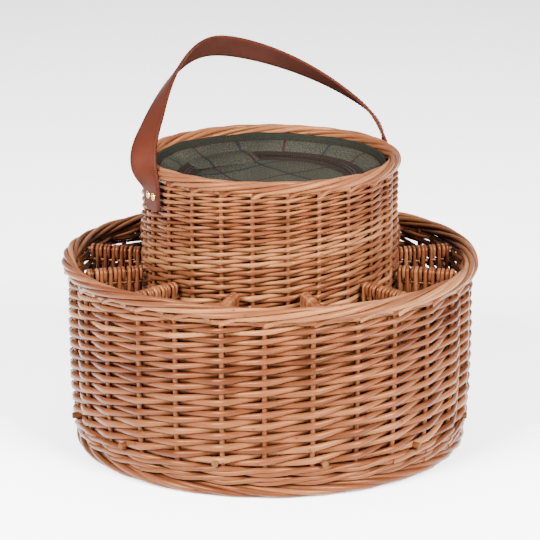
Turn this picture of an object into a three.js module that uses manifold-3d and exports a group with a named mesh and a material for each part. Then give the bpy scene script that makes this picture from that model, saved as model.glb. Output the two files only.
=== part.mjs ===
// A round willow basket for drinks: an outer ring of compartments around a
// taller woven drum with an insulated, zipped cooler inside, and a leather strap.
// Millimetres, +Z up, the middle of the foot at the origin. The strap is riveted
// at -X and +X, and the lid's cloth hinge is at +Y.
import * as THREE from 'three';
import { mergeVertices } from 'three/addons/utils/BufferGeometryUtils.js';
import Module from 'manifold-3d';

const wasm = await Module();
wasm.setup();
const { Manifold, Mesh: SolidMesh } = wasm;

// Driving dimensions.
const GAP = 0.3; // between pieces that touch
const RIM_RADIUS = 217; // centre line of the outer rim
const RIM_SECTION = 8; // half thickness of the outer rim
const RIM_CENTRE_Z = 200;
const STAKES = 28; // uprights of the outer wall
const WALL_THICKNESS = 17; // stake with a weaver in front and behind
const WALL_INSET = 5; // the widest weave lies this far inside the rim's edge
const WALL_DRAW = 3; // the wall is narrower by this just above the wale
const WEAVE_ROW = 6.6; // from one weaver of the outer wall up to the next
const WEAVE_RELIEF = 5; // a weaver in front of a stake stands this far proud
const FOOT_HEIGHT = 14;
const FOOT_WIDTH = 16;
const FOOT_INSET = 14; // foot edge inside the rim's edge
const FOOT_RIPPLE = 1.2; // between two rods of the plaited foot
const WALE_HEIGHT = 21;
const WALE_ROUNDS = 3; // rods one above the other
const WALE_PROUD = 2; // the lowest round stands this far outside the foot
const WALE_FLARE = 1.8; // and each one above it this much further
const WALE_GROOVE = 2.5; // depth of the groove between two rounds
const WALE_RIPPLE = 1.4;
const WALE_FALL = 6; // the wale falls back by this under the widest weave
const FLOOR_THICKNESS = 10;
const FLOOR_LIFT = 3; // floor above the table

const DRUM_RIM_RADIUS = 133.2;
const DRUM_RIM_SECTION = 7.1;
const DRUM_RIM_CENTRE_Z = 310;
const DRUM_STAKES = 24;
const DRUM_WALL_THICKNESS = 14;
const DRUM_ROW = 4.3; // from one weaver of the drum up to the next
const DRUM_RELIEF = 4;
const RIM_STRANDS = 6; // rods side by side in a rolled border
const STRAND_GROOVE = 1.9; // depth of the groove between two of them

const COMPARTMENTS = 12;
const PARTITION_TOP_Z = 202;
const PARTITION_THICKNESS = 12;
const PARTITION_RODS = 9; // uprights in one partition
const STICK_RADIUS = 3.5; // bottom stick of a partition
const STICK_Z = 39;
const STICK_CLEARANCE = 0.3;
const STICK_PROUD = 1; // cut end outside the wall
const STICK_SHY = 3; // the inner end stops this far short of the drum's inside

const LINER_PLAY = 4.5; // between the drum wall and the cooler
const CLOTH = 0.8;
const FOAM = 6;
const FOIL = 0.6;
const COLLAR_DROP = 8.6; // the collar slopes down to the zip
const COLLAR_THICKNESS = 3;
const ZIP_RADIUS = 90.1; // where the two rows of teeth meet
const ZIP_TAPE = 9.3; // width of one tape
const TAPE_THICKNESS = 1.2;
const TOOTH_HEIGHT = 1.3;
const TOOTH_WIDTH = 2;
const ZIP_Z = 290.9; // underside of the tapes
const LID_CROWN = 4;
const LID_DEPTH = 5;
const HINGE_TAB_WIDTH = 60;
const HINGE_TAB_THICKNESS = 1.6;

const STRAP_WIDTH = 31;
const STRAP_THICKNESS = 3;
const STRAP_PIVOT_Z = 318;
const STRAP_REACH = 159.3; // from the pivot line to the top of the loop
const STRAP_LEG = 17; // flat leg next to the tail, before the arch starts
const STRAP_UPRIGHT = 25; // pull of the arch's ends straight up
const STRAP_SHOULDER = 45; // pull of the crown sideways
const LEAN_AT_RIM = 38; // degrees back from upright
const LEAN_AT_CROWN = 54.7;
const STRAP_FLARE = 0.55; // the legs open towards the back
const FLARE_RUN = 35; // length of leg over which they open
const TAIL_BELOW_PIVOT = 47;
const RIVET_BELOW_PIVOT = 31;
const RIVET_SPACING = 11;
const RIVET_HEAD_RADIUS = 4.2;
const RIVET_HEAD_HEIGHT = 2.2;
const RIVET_SHANK_RADIUS = 1.8;
const WASHER_RADIUS = 5;
const WASHER_THICKNESS = 1.2;

// Sizes that follow from the driving dimensions.
const wallRadius = RIM_RADIUS + RIM_SECTION - WALL_INSET;
const wallInner = wallRadius - WALL_THICKNESS;
const waleTop = FOOT_HEIGHT + GAP + WALE_HEIGHT;
const floorTop = FLOOR_LIFT + FLOOR_THICKNESS;
const footOuter = RIM_RADIUS + RIM_SECTION - FOOT_INSET;
const footInner = footOuter - FOOT_WIDTH;
const drumRadius = DRUM_RIM_RADIUS + DRUM_RIM_SECTION - GAP;
const drumInner = drumRadius - DRUM_WALL_THICKNESS;
const linerRadius = drumInner - LINER_PLAY;
const strapBack = DRUM_RIM_RADIUS + DRUM_RIM_SECTION + GAP;

const group = new THREE.Group();
group.name = 'drinks_basket';

// Materials, in the colours of the photograph.
function material(name, colour, roughness, metalness) {
  const made = new THREE.MeshStandardMaterial({ color: colour, roughness, metalness });
  made.name = name;
  return made;
}
const willow = material('willow', 0xb97d4f, 0.6, 0);
const leather = material('leather', 0x8a4524, 0.45, 0);
const brass = material('brass', 0xc9a24a, 0.3, 1);
const tweed = material('tweed', 0x55604a, 0.95, 0);
const binding = material('binding', 0x3a4030, 0.9, 0);
const tape = material('zip_tape', 0x2e2620, 0.9, 0);
const foam = material('foam', 0xe4e4de, 0.9, 0);
const foil = material('foil', 0xc8ccd0, 0.3, 0.8);

function geometryFrom(positions, index) {
  const geometry = new THREE.BufferGeometry();
  geometry.setAttribute('position', new THREE.Float32BufferAttribute(positions, 3));
  geometry.setIndex(index);
  geometry.computeVertexNormals();
  return geometry;
}

function addPiece(name, geometry, surface) {
  const piece = new THREE.Mesh(geometry, surface);
  piece.name = name;
  group.add(piece);
  return piece;
}

// A closed profile of [radius, z] points, listed anticlockwise, turned about Z.
// ripple(column, point) moves single points in or out.
function turned(profile, columns, ripple = () => 0) {
  const positions = [];
  const index = [];
  const firstOf = [];
  profile.forEach(([radius, z], point) => {
    firstOf.push(positions.length / 3);
    const count = radius === 0 ? 1 : columns;
    for (let column = 0; column < count; column += 1) {
      const angle = (2 * Math.PI * column) / columns;
      const reach = radius === 0 ? 0 : radius + ripple(column, point);
      positions.push(reach * Math.cos(angle), reach * Math.sin(angle), z);
    }
  });
  const vertex = (point, column) =>
    firstOf[point] + (profile[point][0] === 0 ? 0 : column % columns);
  profile.forEach(([radius], point) => {
    const next = (point + 1) % profile.length;
    const nextRadius = profile[next][0];
    for (let column = 0; column < columns; column += 1) {
      const low = vertex(point, column);
      const lowNext = vertex(point, column + 1);
      const high = vertex(next, column);
      const highNext = vertex(next, column + 1);
      if (radius > 0) {
        index.push(low, lowNext, highNext);
      }
      if (nextRadius > 0) {
        index.push(low, highNext, high);
      }
    }
  });
  return geometryFrom(positions, index);
}

// Closed loops of points, each anticlockwise as seen from the far end, joined
// into a skin. A ring is closed on itself, and an open skin gets two flat ends.
function lofted(loops, isRing = false, shift = 0) {
  const count = loops[0].length;
  const positions = loops.flat().flatMap((point) => point.toArray());
  const index = [];
  const spans = isRing ? loops.length : loops.length - 1;
  for (let span = 0; span < spans; span += 1) {
    const isLast = span === loops.length - 1;
    const from = span * count;
    const to = isLast ? 0 : from + count;
    const turn = isLast ? shift : 0;
    for (let point = 0; point < count; point += 1) {
      const next = (point + 1) % count;
      const far = to + ((point + turn) % count);
      const farNext = to + ((next + turn) % count);
      index.push(from + point, from + next, farNext);
      index.push(from + point, farNext, far);
    }
  }
  if (!isRing) {
    const ends = [
      [0, loops[0], true],
      [(loops.length - 1) * count, loops[loops.length - 1], false],
    ];
    ends.forEach(([first, loop, isStart]) => {
      const centre = new THREE.Vector3();
      loop.forEach((point) => centre.add(point));
      centre.divideScalar(count);
      const middle = positions.length / 3;
      positions.push(...centre.toArray());
      for (let point = 0; point < count; point += 1) {
        const next = (point + 1) % count;
        if (isStart) {
          index.push(middle, first + next, first + point);
        } else {
          index.push(middle, first + point, first + next);
        }
      }
    });
  }
  return geometryFrom(positions, index);
}

// A round bar along a direction, given as [distance along it, radius] pairs.
function roundBar(start, direction, steps, sides) {
  const along = direction.clone().normalize();
  const helper = Math.abs(along.z) > 0.9 ? new THREE.Vector3(1, 0, 0) : new THREE.Vector3(0, 0, 1);
  const side = new THREE.Vector3().crossVectors(helper, along).normalize();
  const other = new THREE.Vector3().crossVectors(along, side);
  const loops = steps.map(([distance, radius]) => {
    const loop = [];
    for (let corner = 0; corner < sides; corner += 1) {
      const angle = (2 * Math.PI * corner) / sides;
      loop.push(
        start
          .clone()
          .addScaledVector(along, distance)
          .addScaledVector(side, radius * Math.cos(angle))
          .addScaledVector(other, radius * Math.sin(angle)),
      );
    }
    return loop;
  });
  return lofted(loops);
}

function solidOf(geometry) {
  const bare = new THREE.BufferGeometry();
  bare.setAttribute('position', geometry.getAttribute('position').clone());
  if (geometry.index) {
    bare.setIndex(geometry.index.clone());
  }
  const welded = mergeVertices(bare, 1e-4);
  return new Manifold(
    new SolidMesh({
      numProp: 3,
      vertProperties: Float32Array.from(welded.getAttribute('position').array),
      triVerts: Uint32Array.from(welded.index.array),
    }),
  );
}

function geometryOf(solid) {
  const mesh = solid.getMesh();
  return geometryFrom(Array.from(mesh.vertProperties), Array.from(mesh.triVerts));
}

function subtract(body, cutters) {
  return geometryOf(cutters.reduce((left, cutter) => left.subtract(solidOf(cutter)), solidOf(body)));
}

// A woven ring is kept as a front and a back half, parted on the line of the strap's ends.
function addHalves(name, geometry, surface) {
  const ring = solidOf(geometry);
  addPiece(`${name}_front`, geometryOf(ring.trimByPlane([0, -1, 0], GAP / 2)), surface);
  addPiece(`${name}_back`, geometryOf(ring.trimByPlane([0, 1, 0], GAP / 2)), surface);
}

function polar(radius, angle, z) {
  return new THREE.Vector3(radius * Math.cos(angle), radius * Math.sin(angle), z);
}

// Floor: a round woven disc, raised a little in the middle underneath.
addPiece(
  'floor',
  turned(
    [
      [0, FLOOR_LIFT + 3],
      [footInner * 0.6, FLOOR_LIFT + 2],
      [footInner - GAP, FLOOR_LIFT],
      [footInner - GAP, floorTop],
      [footInner * 0.6, floorTop],
      [0, floorTop],
    ],
    STAKES,
  ),
  willow,
);

// Foot: a plaited border with a flat underside. Its rods slant, so the ripple of
// the lower edge is half a stake away from that of the upper edge.
addPiece(
  'foot_border',
  turned(
    [
      [footInner, 0],
      [footOuter - 4, 0],
      [footOuter, FOOT_HEIGHT * 0.35],
      [footOuter + 1, FOOT_HEIGHT * 0.8],
      [footOuter - 3, FOOT_HEIGHT],
      [footInner, FOOT_HEIGHT],
    ],
    2 * STAKES,
    (column, point) => {
      if (point === 2) {
        return column % 2 ? -FOOT_RIPPLE : 0;
      }
      return point === 3 && column % 2 === 0 ? -FOOT_RIPPLE : 0;
    },
  ),
  willow,
);

// Wale: three rounds of heavy rods that bind the stakes above the foot.
const waleProfile = [[wallInner, FOOT_HEIGHT + GAP]];
for (let round = 0; round < WALE_ROUNDS; round += 1) {
  const low = FOOT_HEIGHT + GAP + (WALE_HEIGHT * round) / WALE_ROUNDS;
  const bulge = footOuter + WALE_PROUD + round * WALE_FLARE;
  waleProfile.push([bulge - WALE_GROOVE, low + (round ? 0.4 : 0)]);
  waleProfile.push([bulge, low + WALE_HEIGHT / WALE_ROUNDS / 2]);
}
waleProfile.push([wallRadius - WALE_FALL, waleTop]);
waleProfile.push([wallInner, waleTop]);
addHalves(
  'wale',
  turned(waleProfile, 2 * STAKES, (column, point) => {
    const isBulge = point > 0 && point < waleProfile.length - 2 && point % 2 === 0;
    return isBulge && (column + point / 2) % 2 ? -WALE_RIPPLE : 0;
  }),
  willow,
);

// Randing: a weaver passes in front of every other stake and behind the rest, and the
// row above it starts one stake on. Columns stand at the stakes and midway between
// them, and a weaver is proud only where it passes in front of a stake.
function rowHeights(low, high, row) {
  const rows = Math.round((high - low) / row);
  return Array.from({ length: rows + 1 }, (_, step) => low + ((high - low) * step) / rows);
}
function randing(column, row, relief) {
  const isInFront = column % 2 === 0 && (column / 2 + row) % 2 === 0;
  return isInFront ? 0 : -relief;
}

// Outer wall, slightly barrelled. Each partition's bottom stick goes through it.
const wallBottom = waleTop + GAP;
const wallTop = RIM_CENTRE_Z - RIM_SECTION - GAP;
const wallHeight = wallTop - wallBottom;
function barrelRadius(z) {
  const belowMiddle = Math.max(1 - (2 * (z - wallBottom)) / wallHeight, 0);
  return wallRadius - WALL_DRAW * belowMiddle ** 2;
}
const wallRows = rowHeights(wallBottom, wallTop, WEAVE_ROW);
const wallProfile = [
  [wallInner, wallBottom],
  ...wallRows.map((z) => [barrelRadius(z), z]),
  [wallInner, wallTop],
];
const partitionAngles = [];
for (let place = 0; place < COMPARTMENTS; place += 1) {
  partitionAngles.push(((place + 0.5) * 2 * Math.PI) / COMPARTMENTS);
}
const stickHoles = partitionAngles.map((angle) =>
  roundBar(
    polar(drumInner - STICK_SHY, angle, STICK_Z),
    polar(1, angle, 0),
    [
      [0, STICK_RADIUS + STICK_CLEARANCE],
      [wallRadius - drumInner + 20, STICK_RADIUS + STICK_CLEARANCE],
    ],
    8,
  ),
);
const outerWall = turned(wallProfile, 2 * STAKES, (column, point) => {
  const isInside = point === 0 || point > wallRows.length;
  return isInside ? 0 : randing(column, point - 1, WEAVE_RELIEF);
});
addHalves('outer_wall', subtract(outerWall, stickHoles), willow);

// Rolled border: the stake ends laid along the rim and twisted round each other.
// Every stake starts a strand, and a strand ends after one turn of the twist.
function rolledBorder(centreRadius, section, centreZ, stakes) {
  const steps = 2 * stakes;
  const points = 2 * RIM_STRANDS;
  const wholeTwist = (stakes * 2 * Math.PI) / RIM_STRANDS;
  const loops = [];
  for (let step = 0; step < steps; step += 1) {
    const around = (2 * Math.PI * step) / steps;
    const twist = (wholeTwist * step) / steps;
    const loop = [];
    for (let point = 0; point < points; point += 1) {
      const angle = twist + (2 * Math.PI * point) / points;
      const reach = point % 2 ? section - STRAND_GROOVE : section;
      loop.push(
        polar(centreRadius + reach * Math.cos(angle), around, centreZ + reach * Math.sin(angle)),
      );
    }
    loops.push(loop.reverse());
  }
  const shift = Math.round((wholeTwist * points) / (2 * Math.PI)) % points;
  return lofted(loops, true, (points - shift) % points);
}
addPiece('outer_rim', rolledBorder(RIM_RADIUS, RIM_SECTION, RIM_CENTRE_Z, STAKES), willow);

// Drum wall, with holes for the partition sticks and the strap's rivets. Between the
// partitions it is drawn in between the stakes, and above them its rows show.
const drumBottom = floorTop + GAP;
const drumTop = DRUM_RIM_CENTRE_Z - DRUM_RIM_SECTION - GAP;
const drumRows = rowHeights(PARTITION_TOP_Z, drumTop, DRUM_ROW);
const drumWall = turned(
  [
    [drumInner, drumBottom],
    [drumRadius, drumBottom],
    ...drumRows.map((z) => [drumRadius, z]),
    [drumInner, drumTop],
  ],
  2 * DRUM_STAKES,
  (column, point) => {
    const isInside = point === 0 || point > drumRows.length + 1;
    if (isInside) {
      return 0;
    }
    if (point === 1) {
      return column % 2 ? -DRUM_RELIEF : 0;
    }
    return randing(column, point - 2, DRUM_RELIEF);
  },
);
const rivetZ = STRAP_PIVOT_Z - RIVET_BELOW_PIVOT;
const rivetHoleRadius = RIVET_SHANK_RADIUS + GAP;
const rivetRows = [-RIVET_SPACING / 2, RIVET_SPACING / 2];
const rivetHoles = rivetRows.map((y) =>
  roundBar(
    new THREE.Vector3(-strapBack, y, rivetZ),
    new THREE.Vector3(1, 0, 0),
    [
      [0, rivetHoleRadius],
      [2 * strapBack, rivetHoleRadius],
    ],
    8,
  ),
);
addPiece('drum_wall', subtract(drumWall, [...stickHoles, ...rivetHoles]), willow);
addPiece(
  'drum_rim',
  rolledBorder(DRUM_RIM_RADIUS, DRUM_RIM_SECTION, DRUM_RIM_CENTRE_Z, DRUM_STAKES),
  willow,
);

// Partitions: a row of uprights looped over a top stick, and a bottom stick that
// is held in the drum wall and comes out through the outer wall.
const partitionInner = drumRadius + GAP;
const partitionOuter = wallInner * Math.cos(Math.PI / (2 * STAKES)) - GAP;
const partitionBottom = FOOT_HEIGHT + GAP;
function partitionPanel(angle) {
  const outward = polar(1, angle, 0);
  const across = polar(1, angle + Math.PI / 2, 0);
  const pitch = (partitionOuter - partitionInner) / PARTITION_RODS;
  const half = PARTITION_THICKNESS / 2;
  const levels = [
    [partitionBottom, 1],
    [PARTITION_TOP_Z - half * 0.8, 1],
    [PARTITION_TOP_Z, 0.4],
  ];
  const loops = levels.map(([z, share]) => {
    const loop = [];
    [-1, 1].forEach((face) => {
      for (let rod = 0; rod < PARTITION_RODS; rod += 1) {
        const place = face < 0 ? rod : PARTITION_RODS - 1 - rod;
        const first = partitionInner + pitch * (place + (face < 0 ? 0 : 1));
        const crest = partitionInner + pitch * (place + 0.5);
        [
          [first, half - 1.8],
          [crest, half],
        ].forEach(([distance, thick]) => {
          const point = outward.clone().multiplyScalar(distance);
          loop.push(point.addScaledVector(across, face * thick * share).setZ(z));
        });
      }
      const end = face < 0 ? partitionOuter : partitionInner;
      const tip = outward.clone().multiplyScalar(end);
      loop.push(tip.addScaledVector(across, face * (half - 2.2) * share).setZ(z));
    });
    return loop;
  });
  const panel = lofted(loops);
  const stick = roundBar(
    polar(drumInner + STICK_SHY, angle, STICK_Z),
    outward,
    [
      [0, STICK_RADIUS],
      [wallRadius - WALL_DRAW + STICK_PROUD - drumInner - STICK_SHY, STICK_RADIUS],
    ],
    8,
  );
  return geometryOf(solidOf(panel).add(solidOf(stick)));
}
partitionAngles.forEach((angle, place) => {
  const name = `partition_${String(place + 1).padStart(2, '0')}`;
  addPiece(name, partitionPanel(angle), willow);
});

// Cooler: a cloth jacket, foam sleeve and floor, and a foil lining.
const linerColumns = 28;
const linerBottom = floorTop + GAP;
const jacketInner = linerRadius - CLOTH;
const sleeveOuter = jacketInner - GAP;
const sleeveInner = sleeveOuter - FOAM;
const foamBottom = linerBottom + CLOTH + GAP;
const foamFloorTop = foamBottom + FOAM;
const collarOuterZ = DRUM_RIM_CENTRE_Z - DRUM_RIM_SECTION - 3.6;
const collarInner = ZIP_RADIUS + GAP + ZIP_TAPE + GAP;
const jacketTop = collarOuterZ - 1;
const sleeveTop = collarOuterZ - 4;
addPiece(
  'cooler_jacket',
  turned(
    [
      [0, linerBottom],
      [linerRadius, linerBottom],
      [linerRadius, jacketTop],
      [jacketInner, jacketTop],
      [jacketInner, linerBottom + CLOTH],
      [0, linerBottom + CLOTH],
    ],
    linerColumns,
  ),
  binding,
);
addPiece(
  'foam_sleeve',
  turned(
    [
      [sleeveInner, foamBottom],
      [sleeveOuter, foamBottom],
      [sleeveOuter, sleeveTop],
      [sleeveInner, sleeveTop - 3],
    ],
    linerColumns,
  ),
  foam,
);
addPiece(
  'foam_floor',
  turned(
    [
      [0, foamBottom],
      [sleeveInner - GAP, foamBottom],
      [sleeveInner - GAP, foamFloorTop],
      [0, foamFloorTop],
    ],
    linerColumns,
  ),
  foam,
);
const foilOuter = sleeveInner - GAP;
const foilBottom = foamFloorTop + GAP;
addPiece(
  'foil_lining',
  turned(
    [
      [0, foilBottom],
      [foilOuter, foilBottom],
      [foilOuter, sleeveTop - 4],
      [foilOuter - FOIL, sleeveTop - 4],
      [foilOuter - FOIL, foilBottom + FOIL],
      [0, foilBottom + FOIL],
    ],
    linerColumns,
  ),
  foil,
);

// The binding stands behind the drum rim, and the collar slopes down to the zip.
const bandOuter = DRUM_RIM_RADIUS - DRUM_RIM_SECTION - 2 * GAP;
addPiece(
  'liner_binding',
  turned(
    [
      [linerRadius + GAP, collarOuterZ - 6],
      [bandOuter, collarOuterZ - 6],
      [bandOuter, DRUM_RIM_CENTRE_Z - 2],
      [linerRadius + GAP, DRUM_RIM_CENTRE_Z - 2],
    ],
    linerColumns,
  ),
  binding,
);
addPiece(
  'collar',
  turned(
    [
      [collarInner, collarOuterZ - COLLAR_DROP],
      [linerRadius - 0.1, collarOuterZ],
      [linerRadius - 0.1, collarOuterZ + COLLAR_THICKNESS],
      [collarInner, collarOuterZ - COLLAR_DROP + COLLAR_THICKNESS],
    ],
    linerColumns,
  ),
  tweed,
);

// Zip: one tape on the collar and one on the lid, each with a row of teeth.
const tapeTop = ZIP_Z + TAPE_THICKNESS;
const toothTop = tapeTop + TOOTH_HEIGHT;
addPiece(
  'zip_tape_collar',
  turned(
    [
      [ZIP_RADIUS + GAP, ZIP_Z],
      [collarInner - GAP, ZIP_Z],
      [collarInner - GAP, tapeTop],
      [ZIP_RADIUS + GAP + TOOTH_WIDTH, tapeTop],
      [ZIP_RADIUS + GAP + TOOTH_WIDTH, toothTop],
      [ZIP_RADIUS + GAP, toothTop],
    ],
    linerColumns,
  ),
  tape,
);
const lidTapeInner = ZIP_RADIUS - GAP - ZIP_TAPE;
addPiece(
  'zip_tape_lid',
  turned(
    [
      [lidTapeInner, ZIP_Z],
      [ZIP_RADIUS - GAP, ZIP_Z],
      [ZIP_RADIUS - GAP, toothTop],
      [ZIP_RADIUS - GAP - TOOTH_WIDTH, toothTop],
      [ZIP_RADIUS - GAP - TOOTH_WIDTH, tapeTop],
      [lidTapeInner, tapeTop],
    ],
    linerColumns,
  ),
  tape,
);

// Lid: a padded disc with a soft crown, a foil skin below and a cloth hinge.
const lidRadius = lidTapeInner - GAP;
const lidBottom = ZIP_Z - LID_DEPTH;
addPiece(
  'lid_panel',
  turned(
    [
      [0, lidBottom],
      [lidRadius - 3, lidBottom],
      [lidRadius, lidBottom + 2.5],
      [lidRadius - 0.6, ZIP_Z + 0.6],
      [lidRadius - 8, ZIP_Z + LID_CROWN * 0.6],
      [lidRadius * 0.5, ZIP_Z + LID_CROWN * 0.95],
      [0, ZIP_Z + LID_CROWN],
    ],
    linerColumns,
  ),
  tweed,
);
addPiece(
  'lid_foil',
  turned(
    [
      [0, lidBottom - GAP - FOIL],
      [lidRadius - 3, lidBottom - GAP - FOIL],
      [lidRadius - 3, lidBottom - GAP],
      [0, lidBottom - GAP],
    ],
    linerColumns,
  ),
  foil,
);
const tabHalf = HINGE_TAB_WIDTH / 2;
const tabBackRadius = collarInner * Math.cos(Math.PI / linerColumns) - GAP;
const tabFront = lidRadius - 9;
const tabSpread = Math.asin(tabHalf / tabBackRadius);
const tabOutline = new THREE.Shape();
tabOutline.absarc(0, 0, tabBackRadius, Math.PI / 2 - tabSpread, Math.PI / 2 + tabSpread, false);
tabOutline.lineTo(-tabHalf, tabFront + 6);
tabOutline.lineTo(-tabHalf + 6, tabFront);
tabOutline.lineTo(tabHalf - 6, tabFront);
tabOutline.lineTo(tabHalf, tabFront + 6);
const tabGeometry = new THREE.ExtrudeGeometry(tabOutline, {
  depth: HINGE_TAB_THICKNESS,
  bevelEnabled: false,
  curveSegments: 6,
});
tabGeometry.translate(0, 0, toothTop + GAP);
addPiece('lid_hinge_tab', tabGeometry, tweed);

// Zip sliders ride beside the teeth on the collar's tape. They meet at the front,
// and their pullers lie flat along the tape.
const sliderInner = ZIP_RADIUS + 2 * GAP;
const sliderOuter = sliderInner + 6.5;
const sliderBottom = toothTop + GAP;
const sliderHeight = 3;
const sliderLength = 10;
const pullerLength = 16;
const pullerWidth = 3.6;
const pullerThickness = 1.2;
const sliderParting = 1; // between the two at the front
[-1, 1].forEach((side) => {
  const label = side < 0 ? 'left' : 'right';
  const near = side * (sliderParting / 2);
  const far = side * (sliderParting / 2 + sliderLength);
  const body = new THREE.Shape();
  body.moveTo(near, -sliderOuter);
  body.lineTo(far, -sliderOuter + 1.4);
  body.lineTo(far, -sliderInner - 1.4);
  body.lineTo(near, -sliderInner);
  const bodyGeometry = new THREE.ExtrudeGeometry(body, { depth: sliderHeight, bevelEnabled: false });
  bodyGeometry.translate(0, 0, sliderBottom);
  addPiece(`zip_slider_${label}`, bodyGeometry, brass);

  const middle = -(sliderInner + sliderOuter) / 2;
  const start = far + side * GAP;
  const tip = start + side * pullerLength;
  const tab = new THREE.Shape();
  tab.moveTo(start, middle - pullerWidth / 2);
  tab.lineTo(tip - side * 1.5, middle - pullerWidth / 2 - 0.4);
  tab.lineTo(tip, middle);
  tab.lineTo(tip - side * 1.5, middle + pullerWidth / 2 + 0.4);
  tab.lineTo(start, middle + pullerWidth / 2);
  const tabSolid = new THREE.ExtrudeGeometry(tab, { depth: pullerThickness, bevelEnabled: false });
  tabSolid.translate(0, 0, sliderBottom + 0.6);
  addPiece(`zip_puller_${label}`, tabSolid, brass);
});

// Strap tails: flat leather ends riveted to the drum below the rim. Their round
// tops reach up to the line where the strap bends.
const tailHalf = STRAP_WIDTH / 2;
const tailBottom = STRAP_PIVOT_Z - TAIL_BELOW_PIVOT;
const tailCorner = 4;
const tailOutline = new THREE.Shape();
tailOutline.moveTo(-tailHalf, tailBottom + tailCorner);
tailOutline.lineTo(-tailHalf + tailCorner, tailBottom);
tailOutline.lineTo(tailHalf - tailCorner, tailBottom);
tailOutline.lineTo(tailHalf, tailBottom + tailCorner);
tailOutline.lineTo(tailHalf, STRAP_PIVOT_Z);
tailOutline.absarc(0, STRAP_PIVOT_Z, tailHalf, 0, Math.PI, false);
rivetRows.forEach((y) => {
  const hole = new THREE.Path();
  hole.absarc(y, rivetZ, rivetHoleRadius, 0, 2 * Math.PI, true);
  tailOutline.holes.push(hole);
});
[-1, 1].forEach((side) => {
  const label = side < 0 ? 'left' : 'right';
  const tail = new THREE.ExtrudeGeometry(tailOutline, {
    depth: STRAP_THICKNESS,
    bevelEnabled: false,
    curveSegments: 5,
  });
  // The outline's x runs along Y and its y runs up.
  tail.applyMatrix4(
    new THREE.Matrix4().makeBasis(
      new THREE.Vector3(0, 1, 0),
      new THREE.Vector3(0, 0, 1),
      new THREE.Vector3(1, 0, 0),
    ),
  );
  tail.translate(side < 0 ? -strapBack - STRAP_THICKNESS : strapBack, 0, 0);
  addPiece(`strap_tail_${label}`, tail, leather);
});

// Strap loop: it leans back, more so at its crown than at the rim, and its legs
// turn their faces to the front. Half of its arch is one cubic curve in the plane
// of the lean, from the pivot line to the crown.
const lapX = strapBack + STRAP_THICKNESS + GAP + STRAP_THICKNESS / 2;
function archPoint(share) {
  const rest = 1 - share;
  const sideways =
    lapX * (rest ** 3 + 3 * rest ** 2 * share) + 3 * STRAP_SHOULDER * rest * share ** 2;
  const rise =
    3 * STRAP_UPRIGHT * rest ** 2 * share +
    (STRAP_REACH - STRAP_LEG) * (3 * rest * share ** 2 + share ** 3);
  return [sideways, STRAP_LEG + rise];
}
function leanAt(reach) {
  const degrees = LEAN_AT_RIM + (LEAN_AT_CROWN - LEAN_AT_RIM) * (reach / STRAP_REACH);
  return THREE.MathUtils.degToRad(degrees);
}
function strapCentre([sideways, reach], side) {
  const lean = leanAt(reach);
  return new THREE.Vector3(
    side * sideways,
    reach * Math.sin(lean),
    STRAP_PIVOT_Z + reach * Math.cos(lean),
  );
}
function strapAcross([sideways, reach], side) {
  const lean = leanAt(reach);
  const opening = THREE.MathUtils.smoothstep(reach, STRAP_LEG, STRAP_LEG + FLARE_RUN);
  const flare = STRAP_FLARE * (sideways / lapX) * opening;
  return new THREE.Vector3(side * flare, Math.cos(lean), -Math.sin(lean)).normalize();
}
const halfStrap = [0, 0.33, 0.66].map((share) => [lapX, STRAP_LEG * share]);
const archSteps = 20;
for (let step = 0; step <= archSteps; step += 1) {
  halfStrap.push(archPoint(step / archSteps));
}
const otherHalf = halfStrap.slice(0, -1).reverse();
const strapCourse = [
  ...halfStrap.map((place) => [place, -1]),
  ...otherHalf.map((place) => [place, 1]),
];
const strapCentres = strapCourse.map(([place, side]) => strapCentre(place, side));
const strapStations = strapCourse.map(([place, side], step) => {
  const before = strapCentres[Math.max(step - 1, 0)];
  const after = strapCentres[Math.min(step + 1, strapCentres.length - 1)];
  const along = after.clone().sub(before).normalize();
  const across = strapAcross(place, side);
  across.addScaledVector(along, -across.dot(along)).normalize();
  return { centre: strapCentres[step], along, across, half: tailHalf };
});
// The rounded ends turn on the pivot line, flat against the tails.
function roundEnd(station, direction) {
  const made = [];
  [0.97, 0.8, 0.5].forEach((share) => {
    const back = tailHalf * share;
    made.push({
      ...station,
      centre: station.centre.clone().addScaledVector(station.along, direction * back),
      half: Math.max(Math.sqrt(tailHalf ** 2 - back ** 2), 1),
    });
  });
  return made;
}
const firstEnd = roundEnd(strapStations[0], -1);
const lastEnd = roundEnd(strapStations[strapStations.length - 1], 1).reverse();
const allStations = [...firstEnd, ...strapStations, ...lastEnd];
const strapLoops = allStations.map(({ centre, along, across, half }) => {
  const outward = new THREE.Vector3().crossVectors(across, along).normalize();
  const thick = STRAP_THICKNESS / 2;
  const edge = Math.min(0.7, half / 3);
  const outline = [
    [-half + edge, -thick],
    [half - edge, -thick],
    [half, 0],
    [half - edge, thick],
    [-half + edge, thick],
    [-half, 0],
  ];
  return outline.map(([wide, out]) =>
    centre.clone().addScaledVector(across, -wide).addScaledVector(outward, out),
  );
});
addPiece('strap_loop', lofted(strapLoops), leather);

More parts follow.
